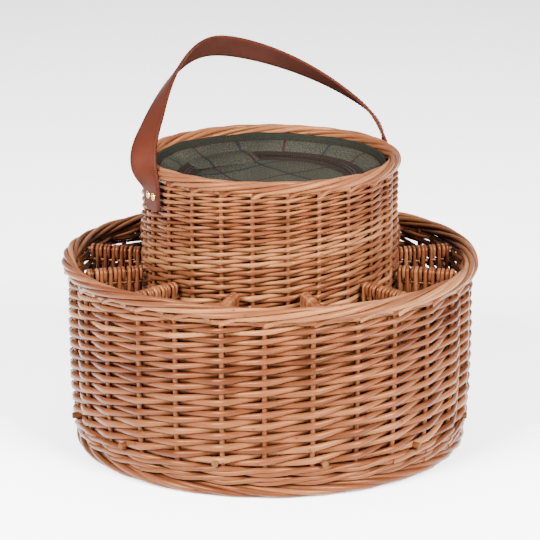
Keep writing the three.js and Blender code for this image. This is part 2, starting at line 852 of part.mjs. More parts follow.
// Rivets: a domed head on the strap, a shank through tail, wall and washer, and a
// spread end behind the washer.
const washerFace = Math.sqrt(drumInner ** 2 - (RIVET_SPACING / 2 + WASHER_RADIUS) ** 2) - GAP;
const washerBack = washerFace - WASHER_THICKNESS;
const headFace = strapBack + STRAP_THICKNESS + GAP;
const spreadLength = 1;
const washerOutline = new THREE.Shape();
washerOutline.absarc(0, 0, WASHER_RADIUS, 0, 2 * Math.PI, false);
const washerHole = new THREE.Path();
washerHole.absarc(0, 0, rivetHoleRadius, 0, 2 * Math.PI, true);
washerOutline.holes.push(washerHole);
[-1, 1].forEach((side) => {
  rivetRows.forEach((y) => {
    const label = `${side < 0 ? 'left' : 'right'}_${y < 0 ? 'front' : 'back'}`;
    const start = washerBack - GAP - spreadLength;
    const steps = [
      [0, RIVET_SHANK_RADIUS + 1],
      [spreadLength, RIVET_SHANK_RADIUS + 1.2],
      [spreadLength, RIVET_SHANK_RADIUS],
      [headFace - start, RIVET_SHANK_RADIUS],
      [headFace - start, RIVET_HEAD_RADIUS],
      [headFace - start + RIVET_HEAD_HEIGHT * 0.6, RIVET_HEAD_RADIUS * 0.8],
      [headFace - start + RIVET_HEAD_HEIGHT, RIVET_HEAD_RADIUS * 0.35],
    ];
    const origin = new THREE.Vector3(side * start, y, rivetZ);
    addPiece(`rivet_${label}`, roundBar(origin, new THREE.Vector3(side, 0, 0), steps, 10), brass);

    const washer = new THREE.ExtrudeGeometry(washerOutline, {
      depth: WASHER_THICKNESS,
      bevelEnabled: false,
      curveSegments: 5,
    });
    washer.rotateY(Math.PI / 2);
    washer.translate(side < 0 ? -washerFace : washerBack, y, rivetZ);
    addPiece(`rivet_washer_${label}`, washer, brass);
  });
});

export default group;
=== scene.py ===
# %% [markdown]
# # A willow drinks basket with a tweed cooler
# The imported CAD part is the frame: it holds every true size and every joint.
# This lesson dresses it for the camera. Rods are woven one by one in place of the
# CAD walls, the strap becomes one length of leather, and the cooler gets its cloth.

import math

import bpy
import numpy as np
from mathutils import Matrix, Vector


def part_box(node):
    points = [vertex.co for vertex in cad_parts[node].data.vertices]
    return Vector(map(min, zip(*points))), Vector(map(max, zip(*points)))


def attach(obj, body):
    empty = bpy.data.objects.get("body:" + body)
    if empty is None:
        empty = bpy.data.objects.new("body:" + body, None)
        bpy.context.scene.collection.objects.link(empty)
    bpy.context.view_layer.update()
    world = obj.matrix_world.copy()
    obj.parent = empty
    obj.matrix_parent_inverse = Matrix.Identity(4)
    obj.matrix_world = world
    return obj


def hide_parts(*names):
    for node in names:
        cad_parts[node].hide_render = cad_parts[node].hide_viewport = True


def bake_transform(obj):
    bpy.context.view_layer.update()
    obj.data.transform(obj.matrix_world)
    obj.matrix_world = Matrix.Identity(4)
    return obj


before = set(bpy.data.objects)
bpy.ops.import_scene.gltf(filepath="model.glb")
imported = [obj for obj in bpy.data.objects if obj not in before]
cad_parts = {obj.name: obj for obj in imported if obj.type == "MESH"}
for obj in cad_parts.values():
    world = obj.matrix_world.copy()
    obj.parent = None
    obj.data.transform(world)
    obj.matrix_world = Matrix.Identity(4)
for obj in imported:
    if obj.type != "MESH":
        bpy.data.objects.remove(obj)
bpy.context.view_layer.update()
bpy.ops.object.select_all(action="DESELECT")
MM = 0.001

# %% [markdown]
# ## Camera
# The photograph was taken from a little above the basket, with a long lens. The
# outer rim is a circle of known size, so the flatness of its picture gives the
# height of the camera, and the narrowing towards the back gives the distance.

# %% Camera at the photograph's angle
PHOTO_PIXELS = 540
FOCAL_PIXELS = 2809.2
CAMERA_DISTANCE = 3.038
CAMERA_TURN = math.radians(-30)
CAMERA_LIFT = math.radians(15.86)
AIM_HEIGHT = 0.1856

lens = bpy.data.cameras.new("photo_camera")
lens.sensor_width = 36
lens.lens = lens.sensor_width * FOCAL_PIXELS / PHOTO_PIXELS
camera = bpy.data.objects.new("photo_camera", lens)
bpy.context.scene.collection.objects.link(camera)
towards_camera = Vector(
    (
        math.sin(CAMERA_TURN) * math.cos(CAMERA_LIFT),
        -math.cos(CAMERA_TURN) * math.cos(CAMERA_LIFT),
        math.sin(CAMERA_LIFT),
    )
)
camera.location = Vector((0, 0, AIM_HEIGHT)) + towards_camera * CAMERA_DISTANCE
camera.rotation_euler = towards_camera.to_track_quat("Z", "Y").to_euler()
bpy.context.scene.camera = camera
print("lens in mm:", round(lens.lens, 1))

# %% [markdown]
# ## Studio
# The highlights on the rods show two soft boxes, about 40 degrees to the left and to
# the right of the camera and above it. A weak third light comes from above, and a dim
# white world keeps the inside of the compartments from going black. The paper is lit
# from below a little, as a light table is, so that it stays white.

# %% Floor and lights
def paper_floor():
    """A wide sheet of pale paper under the basket."""
    bpy.ops.mesh.primitive_plane_add(size=24, location=(0, 0, 0))
    paper = bpy.context.object
    paper.name = "paper_floor"
    paint = bpy.data.materials.new("pale_paper")
    paint.use_nodes = True
    shader = paint.node_tree.nodes["Principled BSDF"]
    shader.inputs["Base Color"].default_value = (0.94, 0.94, 0.94, 1)
    shader.inputs["Roughness"].default_value = 0.9
    shader.inputs["Specular IOR Level"].default_value = 0.1
    shader.inputs["Emission Color"].default_value = (1, 1, 1, 1)
    shader.inputs["Emission Strength"].default_value = 0.6
    paper.data.materials.append(paint)


LIGHTS_AIM = Vector((0, 0, 0.2))


def soft_light(name, turn, distance, height, size, watts):
    """A square soft box at an angle from the camera, looking at the basket."""
    data = bpy.data.lights.new(name, "AREA")
    data.size = size
    data.energy = watts
    lamp = bpy.data.objects.new(name, data)
    way = CAMERA_TURN + math.radians(turn)
    lamp.location = (distance * math.sin(way), -distance * math.cos(way), height)
    direction = LIGHTS_AIM - lamp.location
    lamp.rotation_euler = direction.to_track_quat("-Z", "Y").to_euler()
    bpy.context.scene.collection.objects.link(lamp)


paper_floor()
soft_light("left_light", turn=-42, distance=2.4, height=1.7, size=1.2, watts=500)
soft_light("right_light", turn=40, distance=2.5, height=1.6, size=1.2, watts=510)
soft_light("top_light", turn=170, distance=0.9, height=2.8, size=2.6, watts=95)
world = bpy.data.worlds.new("white_room")
world.use_nodes = True
room = world.node_tree.nodes["Background"]
room.inputs["Color"].default_value = (1, 1, 1, 1)
room.inputs["Strength"].default_value = 0.5
bpy.context.scene.world = world

# %% [markdown]
# ## Helpers for finishes
# A finish is a small network of nodes around one shader. These helpers add a node
# with its settings in one line, so that each finish below reads as a recipe.

# %% Node helpers
class Finish:
    """A node material and the calls that build it."""

    def __init__(self, name, roughness, metallic=0.0, specular=0.5, tint=(1, 1, 1)):
        self.material = bpy.data.materials.new(name)
        self.material.use_nodes = True
        self.tree = self.material.node_tree
        self.shader = self.tree.nodes["Principled BSDF"]
        self.shader.inputs["Roughness"].default_value = roughness
        self.shader.inputs["Metallic"].default_value = metallic
        self.shader.inputs["Specular IOR Level"].default_value = specular
        self.shader.inputs["Specular Tint"].default_value = (*tint, 1)

    def add(self, kind, links=None, values=None, **settings):
        """A node with settings, socket values and links from other sockets."""
        made = self.tree.nodes.new("ShaderNode" + kind)
        for key, value in settings.items():
            setattr(made, key, value)
        for key, value in (values or {}).items():
            made.inputs[key].default_value = value
        for key, socket in (links or {}).items():
            self.tree.links.new(socket, made.inputs[key])
        return made

    def places(self, scale=(1, 1, 1), uv=None):
        """Coordinates from the piece's own UV map, or its object, scaled."""
        if uv:
            source = self.add("UVMap", uv_map=uv).outputs["UV"]
        else:
            source = self.add("TexCoord").outputs["Object"]
        return self.add("Mapping", {"Vector": source}, {"Scale": scale}).outputs["Vector"]

    def noise(self, where, scale, detail=3.0, rough=0.5):
        values = {"Scale": scale, "Detail": detail, "Roughness": rough}
        return self.add("TexNoise", {"Vector": where}, values).outputs["Fac"]

    def cells(self, where, scale, **settings):
        """Distance from the middle of the nearest of many irregular cells."""
        made = self.add("TexVoronoi", {"Vector": where}, {"Scale": scale}, **settings)
        return made.outputs["Distance"]

    def ramp(self, factor, stops):
        """A colour ramp through (place, colour) stops."""
        made = self.add("ValToRGB", {"Fac": factor})
        steps = made.color_ramp.elements
        for place, _ in stops[1:-1]:
            steps.new(place)
        for step, (place, colour) in zip(steps, stops):
            step.position = place
            step.color = (*colour, 1)
        return made.outputs["Color"]

    def mix(self, factor, first, second, how="MIX"):
        """Blends two colours; each is a socket or a plain colour."""
        made = self.add("Mix", data_type="RGBA", blend_type=how)
        for socket, value in ((0, factor), (6, first), (7, second)):
            if isinstance(value, bpy.types.NodeSocket):
                self.tree.links.new(value, made.inputs[socket])
            elif socket == 0:
                made.inputs[0].default_value = value
            else:
                made.inputs[socket].default_value = (*value, 1)
        return made.outputs[2]

    def span(self, value, low, high, to_low, to_high):
        """Stretches a value from one range to another, held at the ends."""
        values = {"From Min": low, "From Max": high, "To Min": to_low, "To Max": to_high}
        return self.add("MapRange", {"Value": value}, values).outputs["Result"]

    def math(self, how, first, second):
        made = self.add("Math", operation=how)
        for socket, value in zip(made.inputs, (first, second)):
            if isinstance(value, bpy.types.NodeSocket):
                self.tree.links.new(value, socket)
            else:
                socket.default_value = value
        return made.outputs["Value"]

    def colour(self, socket):
        self.tree.links.new(socket, self.shader.inputs["Base Color"])

    def roughness(self, socket):
        self.tree.links.new(socket, self.shader.inputs["Roughness"])

    def speckle(self, where, scale, dark, pale, detail=3.0, rough=0.5, spread=0.2):
        """Colours the finish from dark to pale by a noise, and gives that noise."""
        mark = self.noise(where, scale, detail, rough)
        self.colour(self.ramp(mark, [(0.5 - spread, dark), (0.5 + spread, pale)]))
        return mark

    def bump(self, height, strength, distance):
        values = {"Strength": strength, "Distance": distance}
        made = self.add("Bump", {"Height": height}, values)
        self.tree.links.new(made.outputs["Normal"], self.shader.inputs["Normal"])


print("finish helpers ready")

# %% [markdown]
# ## Willow
# Buff willow is boiled in its bark, which stains the rod a warm tan, and then
# peeled. Every rod has its own tone, faint streaks along its length and a few dark
# buds. The tone is stored on each rod as an attribute, and the streaks follow the
# rod because its UV map runs once round it and along it in metres. Each rod starts a
# little further along the map than the one before, so that no two look the same.

# %% Willow skin and cut ends
ROD_MAP = "rod"
ROD_TONE = "tone"
STREAK_SHIFT = 0.37


def willow_skin():
    made = Finish("willow_skin", 0.42, specular=0.23, tint=(1.0, 0.46, 0.2))
    tone = made.add("Attribute", attribute_name=ROD_TONE).outputs["Fac"]
    stops = [
        (0.0, (0.032, 0.0086, 0.0036)),
        (0.35, (0.058, 0.0172, 0.007)),
        (0.7, (0.09, 0.0318, 0.013)),
        (1.0, (0.155, 0.065, 0.027)),
    ]
    base = made.ramp(tone, stops)
    streak = made.noise(made.places((7, 30, 1), uv=ROD_MAP), 1.0, 4.0, 0.6)
    shade = made.ramp(streak, [(0.3, (0.66, 0.6, 0.55)), (0.72, (1.16, 1.12, 1.08))])
    streaked = made.mix(1.0, base, shade, "MULTIPLY")
    blotch = made.noise(made.places(), 26.0, 2.0)
    blush = made.span(blotch, 0.48, 0.7, 0.0, 0.35)
    warmed = made.mix(blush, streaked, (0.09, 0.025, 0.0088))
    buds = made.cells(made.places((0.55, 24, 1), uv=ROD_MAP), 1.0, voronoi_dimensions="2D")
    dark = made.span(buds, 0.022, 0.045, 0.85, 0.0)
    made.colour(made.mix(dark, warmed, (0.03, 0.01, 0.005)))
    made.roughness(made.span(streak, 0.3, 0.7, 0.24, 0.36))
    made.bump(streak, 0.35, 0.0006)
    return made.material


def willow_cut():
    made = Finish("willow_cut", 0.75, specular=0.04, tint=(1.0, 0.6, 0.4))
    dark = (0.042, 0.0175, 0.0072)
    pale = (0.08, 0.038, 0.017)
    grain = made.speckle(made.places(), 420.0, dark, pale)
    made.bump(grain, 0.4, 0.0004)
    return made.material


WILLOW = [willow_skin(), willow_cut()]
print("willow:", [m.name for m in WILLOW])

# %% [markdown]
# ## Rods
# A basket is hundreds of rods, each a bent round stick with a sliced end. Curves
# with a bevel could make them, but then a rod could not be oval, could not taper
# freely, and would not carry its own tone. So this helper sweeps a ring of points
# along each rod's path and joins all rods of a piece into one mesh. Blender's operators
# act on whatever is selected, so three small helpers for that come first.

# %% Take, place and smooth a piece
def take(piece):
    """Selects one piece alone and makes it the active one."""
    bpy.ops.object.select_all(action="DESELECT")
    bpy.context.view_layer.objects.active = piece
    piece.select_set(True)


def place_mesh(name, mesh):
    """Puts a mesh in the scene as a new piece, and takes it."""
    piece = bpy.data.objects.new(name, mesh)
    bpy.context.scene.collection.objects.link(piece)
    take(piece)
    return piece


def smooth(piece, degrees):
    """Shades the taken piece smooth, except at sharper edges, and lets it go."""
    bpy.ops.object.shade_smooth_by_angle(angle=math.radians(degrees))
    piece.select_set(False)


print("selection helpers ready")

# %% Sweep rods into one mesh
def unit(vectors):
    return vectors / np.linalg.norm(vectors, axis=-1, keepdims=True)


def rod(points, seam, deep, high, tone):
    """One rod: its path, the side where its seam lies, its half sizes and its tone."""
    points = np.asarray(points, float)
    count = len(points)
    return {
        "points": points,
        "seam": np.broadcast_to(np.asarray(seam, float), (count, 3)),
        "deep": np.broadcast_to(np.asarray(deep, float), (count,)),
        "high": np.broadcast_to(np.asarray(high, float), (count,)),
        "tone": float(np.clip(tone, 0, 1)),
    }


def rings_of(one, sides):
    """The points of all rings of one rod, ring after ring."""
    along = unit(np.gradient(one["points"], axis=0))
    seam = one["seam"] - (one["seam"] * along).sum(1, keepdims=True) * along
    seam = unit(seam)
    side = np.cross(along, seam)
    turn = np.linspace(0, 2 * np.pi, sides, endpoint=False)
    inwards = seam[:, None, :] * (one["deep"][:, None] * np.cos(turn))[..., None]
    upwards = side[:, None, :] * (one["high"][:, None] * np.sin(turn))[..., None]
    return (one["points"][:, None, :] + inwards + upwards).reshape(-1, 3)


def rod_faces(rings, sides, first):
    """Side faces with their UV places, then the two cut ends."""
    ring, corner = np.meshgrid(np.arange(rings - 1), np.arange(sides), indexing="ij")
    ring = ring.ravel()
    corner = corner.ravel()
    following = (corner + 1) % sides
    here = first + ring * sides
    quads = np.stack(
        [here + corner, here + following, here + sides + following, here + sides + corner], 1
    )
    around = np.stack([corner, corner + 1, corner + 1, corner], 1) / sides
    step = np.stack([ring, ring, ring + 1, ring + 1], 1)
    last = first + (rings - 1) * sides
    ends = [list(range(first + sides - 1, first - 1, -1)), list(range(last, last + sides))]
    return quads.tolist(), around, step, ends


def weave(name, rods, sides=8):
    """Joins rods into one mesh piece with willow skin and pale cut ends."""
    corners = []
    faces = []
    cuts = []
    places = []
    tones = []
    first = 0
    for number, one in enumerate(rods):
        rings = len(one["points"])
        corners.append(rings_of(one, sides))
        quads, around, step, ends = rod_faces(rings, sides, first)
        gaps = np.linalg.norm(np.diff(one["points"], axis=0), axis=1)
        length = np.concatenate([[0], np.cumsum(gaps)]) + STREAK_SHIFT * number
        faces += quads + ends
        cuts += [0] * len(quads) + [1, 1]
        places.append(np.stack([around.ravel(), length[step].ravel()], 1))
        places.append(np.zeros((2 * sides, 2)))
        tones.append(np.full(rings * sides, one["tone"]))
        first += rings * sides
    mesh = bpy.data.meshes.new(name)
    mesh.from_pydata(np.concatenate(corners).tolist(), [], faces)
    for material in WILLOW:
        mesh.materials.append(material)
    mesh.polygons.foreach_set("material_index", cuts)
    layer = mesh.uv_layers.new(name=ROD_MAP)
    layer.data.foreach_set("uv", np.concatenate(places).ravel())
    tone = mesh.attributes.new(ROD_TONE, "FLOAT", "POINT")
    tone.data.foreach_set("value", np.concatenate(tones))
    piece = place_mesh(name, mesh)
    smooth(piece, 65)
    print(name, "rods:", len(rods), "faces:", len(faces))
    return piece


print("rod helpers ready")

# %% [markdown]
# ## Stakes
# Stakes are the uprights that everything is woven round. A maker spaces them by
# eye, so each stands a little off its even place. Every weaver below reads its
# angle from the same list, so rods really pass in front of and behind the stakes.

# %% Stake places and radial directions
def stake_ring(count, first_degrees, wander_degrees, seed):
    """Angles of the stakes in radians, each a little off its even place."""
    dice = np.random.default_rng(seed)
    even = first_degrees + 360 / count * np.arange(count)
    return np.radians(even + dice.uniform(-wander_degrees, wander_degrees, count))


def angle_at(stakes, place):
    """The angle at a place counted in stakes; 2.5 lies midway from stake 2 to 3."""
    count = len(stakes)
    whole = np.floor(place).astype(int)
    part = place - whole
    here = stakes[whole % count] + 2 * np.pi * (whole // count)
    there = stakes[(whole + 1) % count] + 2 * np.pi * ((whole + 1) // count)
    return here + (there - here) * part


def at(radius, angle, height):
    """Points from radius, angle and height in mm, given in metres."""
    return np.stack([radius * np.cos(angle), radius * np.sin(angle), height], -1) * MM


def inward(angle):
    return np.stack([-np.cos(angle), -np.sin(angle), np.zeros_like(angle)], -1)


def sway(dice, layers, points, amount):
    """A smooth random drift with one value for each stake that is passed."""
    knots = dice.normal(0, amount, layers + 2)
    return np.interp(points, np.arange(layers + 2), knots)


OUTER_STAKES = stake_ring(28, first_degrees=-121.0, wander_degrees=0.7, seed=11)
DRUM_STAKES = stake_ring(24, first_degrees=232.5, wander_degrees=0.5, seed=12)
print("stakes:", len(OUTER_STAKES), "outer,", len(DRUM_STAKES), "drum")

# %% [markdown]
# ## The wall weave
# Both walls are French randing. One rod starts at every stake. Each passes behind
# one stake and in front of the next, and climbs one row at every stake. A rod is
# stiff, so it runs nearly straight and kinks at the stakes. Midway between two stakes
# the rods just touch each other; at the stakes they have more room. All rods climb
# together, which gives the upright columns of slanting rods that the photograph shows.

# %% French randing
STEPS_PER_STAKE = 6
KINK = 0.99
TOUCH = 1.0
WEAVER_DEPTH = 0.47
HEIGHT_DRIFT = 0.3
SWING_DRIFT = 0.25
SIZE_SPREAD = 0.05
TONE_SPREAD = 0.22


def zigzag(layer):
    """From -1 behind a stake to 1 in front of the next, nearly straight in between."""
    return -np.arcsin(KINK * np.cos(np.pi * layer)) / math.asin(KINK)


def randing(stakes, mean_radius, low, high, first_row, last_row, swing, full, tone, seed):
    """Weavers between two heights; full is their height at the stakes, in rows."""
    dice = np.random.default_rng(seed)
    layers = round((high - low) / ((first_row + last_row) / 2))
    layer = np.linspace(0, layers, layers * STEPS_PER_STAKE + 1)
    row = first_row + (last_row - first_row) * layer / layers
    climb = first_row * layer + (last_row - first_row) * layer**2 / (2 * layers)
    climb *= (high - low) / climb[-1]
    rods = []
    for start in range(len(stakes)):
        size = dice.normal(1.0, SIZE_SPREAD)
        swings = zigzag(layer)
        height = low + climb + sway(dice, layers, layer, HEIGHT_DRIFT)
        wave = swings * (swing + sway(dice, layers, layer, SWING_DRIFT))
        angle = angle_at(stakes, start + layer)
        points = at(mean_radius(height) + wave, angle, height)
        depth = row * WEAVER_DEPTH * size * MM
        tall = row / 2 * (TOUCH + (full - TOUCH) * abs(swings)) * size * MM
        rods.append(rod(points, inward(angle), depth, tall, dice.normal(tone, TONE_SPREAD)))
    return rods


def uprights(stakes, mean_radius, low, high, half, seed):
    """The stakes themselves, round rods that stand in the middle of the wall."""
    dice = np.random.default_rng(seed)
    height = np.linspace(low, high, 24)
    rods = []
    for angle in stakes:
        angles = np.full(len(height), angle)
        points = at(mean_radius(height), angles, height)
        rods.append(rod(points, inward(angles), half * MM, half * MM, dice.normal(0.52, 0.12)))
    return rods


WALL_BASE_Z = 35.6
WALL_MEAN_RADIUS = 212.3
WALL_DRAW = 3.0
WALL_DRAW_RUN = 78.0


def wall_radius(height):
    """Middle of the outer wall: drawn in at the wale, full from half height on."""
    share = np.clip((height - WALL_BASE_Z) / WALL_DRAW_RUN, 0, 1)
    return WALL_MEAN_RADIUS - WALL_DRAW * (1 - share) ** 2


outer_rods = uprights(OUTER_STAKES, wall_radius, low=20, high=197, half=2.9, seed=21)
outer_rods += randing(
    OUTER_STAKES, wall_radius, low=36.0, high=191.5, first_row=6.5, last_row=4.9,
    swing=4.7, full=1.26, tone=0.48, seed=22,
)
outer_wall = weave("woven_outer_wall", outer_rods)
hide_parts("outer_wall_front", "outer_wall_back")
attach(outer_wall, "basket")

# %% [markdown]
# ## The wale and the thin wale under the rim
# A wale is three rods worked together: each goes in front of two stakes and behind
# one. It locks the stakes before randing starts, so it is made of heavy rods at the
# bottom. A thin one finishes the wall under the rim. Joins show as slanting cuts.

# %% Waling
WALE_STEPS = 7
WALE_ROD_STAKES = 9


def stepped(values, place):
    """Smooth steps through a repeating list of values, one for each stake."""
    whole = np.floor(place).astype(int)
    part = place - whole
    part = part * part * (3 - 2 * part)
    values = np.asarray(values, float)
    here = values[whole % len(values)]
    there = values[(whole + 1) % len(values)]
    return here + (there - here) * part


def round_level(place, count):
    """Whole rounds done at a place, with a short step up at the end of each round."""
    done = np.floor(place / count)
    return done + np.clip((place - done * count - count + 3) / 3, 0, 1)


def waling(stakes, mean_radius, low, rounds, row, half, swing, seed):
    """Three rods in front of two stakes and behind one, in level rounds."""
    dice = np.random.default_rng(seed)
    count = len(stakes)
    rods = []
    for strand in range(3):
        start = count // 2 + strand
        last = start + rounds * count
        while start < last:
            stop = min(start + WALE_ROD_STAKES, last)
            place = np.linspace(start, stop, (stop - start) * WALE_STEPS + 1)
            angle = angle_at(stakes, place)
            lift = stepped([0.25, 0.0, -0.25], place - strand) * row
            height = low + row * round_level(place - count // 2 - strand, count) + lift
            wave = stepped([1, -1, 1], place - strand) * swing
            points = at(mean_radius(height) + wave, angle, height)
            outwards = -inward(angle[-1]) * half * 0.8 * MM
            tip = points[-1] + (points[-1] - points[-2]) * 0.2 + outwards
            points = np.concatenate([points, tip[None]])
            angle = np.append(angle, angle[-1])
            size = half * dice.normal(1.0, 0.06)
            taper = np.linspace(1.06, 0.92, len(points)) * size * MM
            rods.append(rod(points, inward(angle), taper, taper, dice.normal(0.62, 0.15)))
            start = stop
    return rods


def wale_radius(height):
    return np.interp(height, [14, 36], [204.5, 209.0])


heavy_rods = waling(
    OUTER_STAKES, wale_radius, low=19.6, rounds=2, row=10.4, half=2.95, swing=4.4, seed=31
)
bottom_wale = weave("heavy_wale", heavy_rods)
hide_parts("wale_front", "wale_back")
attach(bottom_wale, "basket")
thin_rods = waling(
    OUTER_STAKES, wall_radius, low=190.8, rounds=1, row=5.6, half=2.2, swing=4.6, seed=32
)
top_wale = weave("thin_wale", thin_rods, 6)
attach(top_wale, "basket")

# %% [markdown]
# ## Rolled borders
# At the rim every stake is bent over and laid along the border, where it wraps once
# round the strands that are already there and is cut off below. So each strand is a
# short coil: six stakes long, one turn, rising to the right on the outer face. A hidden
# core rod fills the middle, and another lies on the wall below, so that no light comes
# through between the strands. These two rods are given the darkest willow tones, as
# painted shade in the grooves. The wide rim is not quite level all round.

# %% Outer rim and drum rim
STRAND_FIRST_TURN = -92
STRAND_TURN = 384
TURN_PER_STAKE = 66
SEAT_HALF = 2.3


def hoop(radius, height, half, tone):
    """A closed ring of one round rod."""
    circle = np.linspace(0, 2 * np.pi, 97)
    points = at(np.full(97, radius), circle, np.full(97, height))
    return rod(points, inward(circle), half * MM, half * MM, tone)


def into_section(turn, angle):
    """From a point of a border's round section towards the middle of that section."""
    return np.stack(
        [-np.cos(turn) * np.cos(angle), -np.cos(turn) * np.sin(angle), -np.sin(turn)], -1
    )


def rolled_border(stakes, radius, seat_radius, middle_z, wander, section, strand_half, seed):
    """One coiling strand for each stake, on a core rod and a rod that lies on the wall."""
    dice = np.random.default_rng(seed)
    coil = section - strand_half
    span = STRAND_TURN / TURN_PER_STAKE
    part = np.linspace(0, 1, 46)
    # The core and the seat rod get the darkest willow tones: painted shade in the grooves between
    # the strands.
    rods = [
        hoop(radius, middle_z, coil - strand_half * 0.7, 0.1),
        hoop(seat_radius, middle_z - section + 1.2, SEAT_HALF, 0.2),
    ]
    for start in range(len(stakes)):
        place = start + span * part
        angle = angle_at(stakes, place)
        turn = np.radians(STRAND_FIRST_TURN + STRAND_TURN * part + dice.normal(0, 6))
        loose = coil * (1 + dice.normal(-0.02, 0.05)) * np.ones_like(part)
        rise = np.clip(part / 0.06, 0, 1)
        drop = np.clip((part - 0.95) / 0.05, 0, 1)
        reach = loose + 2.2 * drop
        level = wander * (1.1 * np.sin(2 * angle + 0.6) + 0.6 * np.sin(5 * angle + 2.0))
        r = radius + reach * np.cos(turn)
        z = middle_z + level + reach * np.sin(turn) - 7 * (1 - rise)
        size = strand_half * dice.normal(1.0, 0.06) * np.interp(part, [0, 1], [1.1, 0.9]) * MM
        # The strands are set paler than the wall's rods: painted light for the rim, which the
        # light from above brightens.
        tone = dice.normal(0.74, 0.2)
        rods.append(rod(at(r, angle, z), into_section(turn, angle), size, size, tone))
    return rods


outer_strands = rolled_border(
    OUTER_STAKES, radius=217, seat_radius=212.3, middle_z=200, wander=1, section=8,
    strand_half=2.8, seed=41,
)
outer_rim = weave("rolled_outer_rim", outer_strands, 10)
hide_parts("outer_rim")
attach(outer_rim, "basket")
drum_strands = rolled_border(
    DRUM_STAKES, radius=133.2, seat_radius=133.2, middle_z=310, wander=0, section=7.1,
    strand_half=2.5, seed=42,
)
drum_rim = weave("rolled_drum_rim", drum_strands, 10)
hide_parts("drum_rim")
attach(drum_rim, "basket")

# %% [markdown]
# ## The foot
# The foot is a second, smaller border below the wale. Its strands slant the other
# way: each comes out under the wale, runs down to the right and tucks under the base.

# %% Foot border
FOOT_RADIUS = 204.0
FOOT_Z = 7.5
FOOT_HALF_HEIGHT = 3.9
FOOT_HALF_WIDTH = 4.6
FOOT_SPAN = 3.6
FOOT_FIRST_TURN = 128
FOOT_TURN = 268
FOOT_STRAND_HALF = 3.15


def foot_border(stakes, seed):
    """One strand for each stake, coiling downwards outside and in under the base."""
    dice = np.random.default_rng(seed)
    part = np.linspace(0, 1, 30)
    rods = []
    for start in range(len(stakes)):
        angle = angle_at(stakes, start + FOOT_SPAN * part)
        turn = np.radians(FOOT_FIRST_TURN - FOOT_TURN * part + dice.normal(0, 4))
        out = FOOT_HALF_WIDTH + 0.8 * np.sin(np.pi * part)
        r = FOOT_RADIUS + out * np.cos(turn)
        z = FOOT_Z + FOOT_HALF_HEIGHT * np.sin(turn)
        size = FOOT_STRAND_HALF * dice.normal(1.0, 0.05) * MM
        tone = dice.normal(0.52, 0.15)
        rods.append(rod(at(r, angle, z), into_section(turn, angle), size, size, tone))
    return rods


foot = weave("plaited_foot", foot_border(OUTER_STAKES, 51))
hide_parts("foot_border")
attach(foot, "basket")

# %% [markdown]
# ## The drum
# The drum is woven in the same way with thinner rods, in two lifts: a lower set of
# rods up to the height of the partitions, and a finer set from there to the rim.

# %% Drum wall
DRUM_MEAN_RADIUS = 133.4


def drum_radius(height):
    return np.full_like(np.asarray(height, float), DRUM_MEAN_RADIUS)


drum_rods = uprights(DRUM_STAKES, drum_radius, low=13.5, high=308, half=2.5, seed=61)
drum_rods += randing(
    DRUM_STAKES, drum_radius, low=16.5, high=198, first_row=5.3, last_row=4.8,
    swing=3.6, full=1.24, tone=0.64, seed=62,
)
drum_rods += randing(
    DRUM_STAKES, drum_radius, low=198, high=303.8, first_row=4.7, last_row=3.2,
    swing=3.5, full=1.26, tone=0.66, seed=63,
)
drum_wall = weave("woven_drum_wall", drum_rods, 6)
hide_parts("drum_wall")
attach(drum_wall, "basket")

# %% [markdown]
# ## The floor
# The floor is a round woven base: sticks that cross in the middle, and rods that go
# over and under them in rings. The rows are beaten close, so that no light comes
# through, and the last ones tuck in under the foot's strands.

# %% Woven floor
FLOOR_STICKS = 27
FLOOR_Z = 8.0
FLOOR_FIRST_RADIUS = 26.0
FLOOR_EDGE = 201.0
FLOOR_ROW = 4.8
DOWN = (0, 0, -1)


def woven_floor(seed):
    """Sticks from the middle outwards, and one long spiral of rods over and under them."""
    dice = np.random.default_rng(seed)
    stakes = stake_ring(FLOOR_STICKS, first_degrees=0.0, wander_degrees=0.4, seed=seed)
    rods = []
    for angle in stakes:
        reach = np.linspace(6, FLOOR_EDGE, 12)
        angles = np.full(len(reach), angle)
        points = at(reach, angles, np.full(len(reach), FLOOR_Z))
        rods.append(rod(points, DOWN, 2.3 * MM, 2.6 * MM, dice.normal(0.45, 0.12)))
    for ring in range(round((FLOOR_EDGE - FLOOR_FIRST_RADIUS) / FLOOR_ROW) + 1):
        place = np.linspace(0, FLOOR_STICKS + 0.3, FLOOR_STICKS * 4)
        angle = angle_at(stakes, place)
        wave = 2.4 * np.cos(np.pi * (place + ring))
        radius = FLOOR_FIRST_RADIUS + FLOOR_ROW * (ring + place / FLOOR_STICKS)
        points = at(np.minimum(radius, FLOOR_EDGE), angle, FLOOR_Z + wave)
        rods.append(rod(points, DOWN, 2.3 * MM, 2.9 * MM, dice.normal(0.45, 0.13)))
    return rods


floor = weave("woven_floor", woven_floor(71), 6)
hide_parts("floor")
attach(floor, "basket")

# %% [markdown]
# ## Partitions
# Twelve small hurdles part the ring into compartments. Each is a row of uprights
# that pass in front of and behind some thin cross sticks, and are looped over a top
# stick, where their tips tuck in again. The thick bottom stick goes through the
# outer wall, and its sliced end shows there.

# %% One hurdle, and its twelve copies
HURDLES = 12
FIRST_HURDLE_DEGREES = 15
HURDLE_RODS = 13
HURDLE_INNER = 140.6
HURDLE_OUTER = 202.6
HURDLE_LOW = 15
HURDLE_STICKS = [39.0, 76.0, 113.0, 150.0, 184.0]
TOP_STICK_Z = 195.6
STICK_HALF = 1.9
UPRIGHT_HALF = 2.12
BOTTOM_STICK_HALF = 3.5
STICK_END = 219.0
WRAP = STICK_HALF + UPRIGHT_HALF


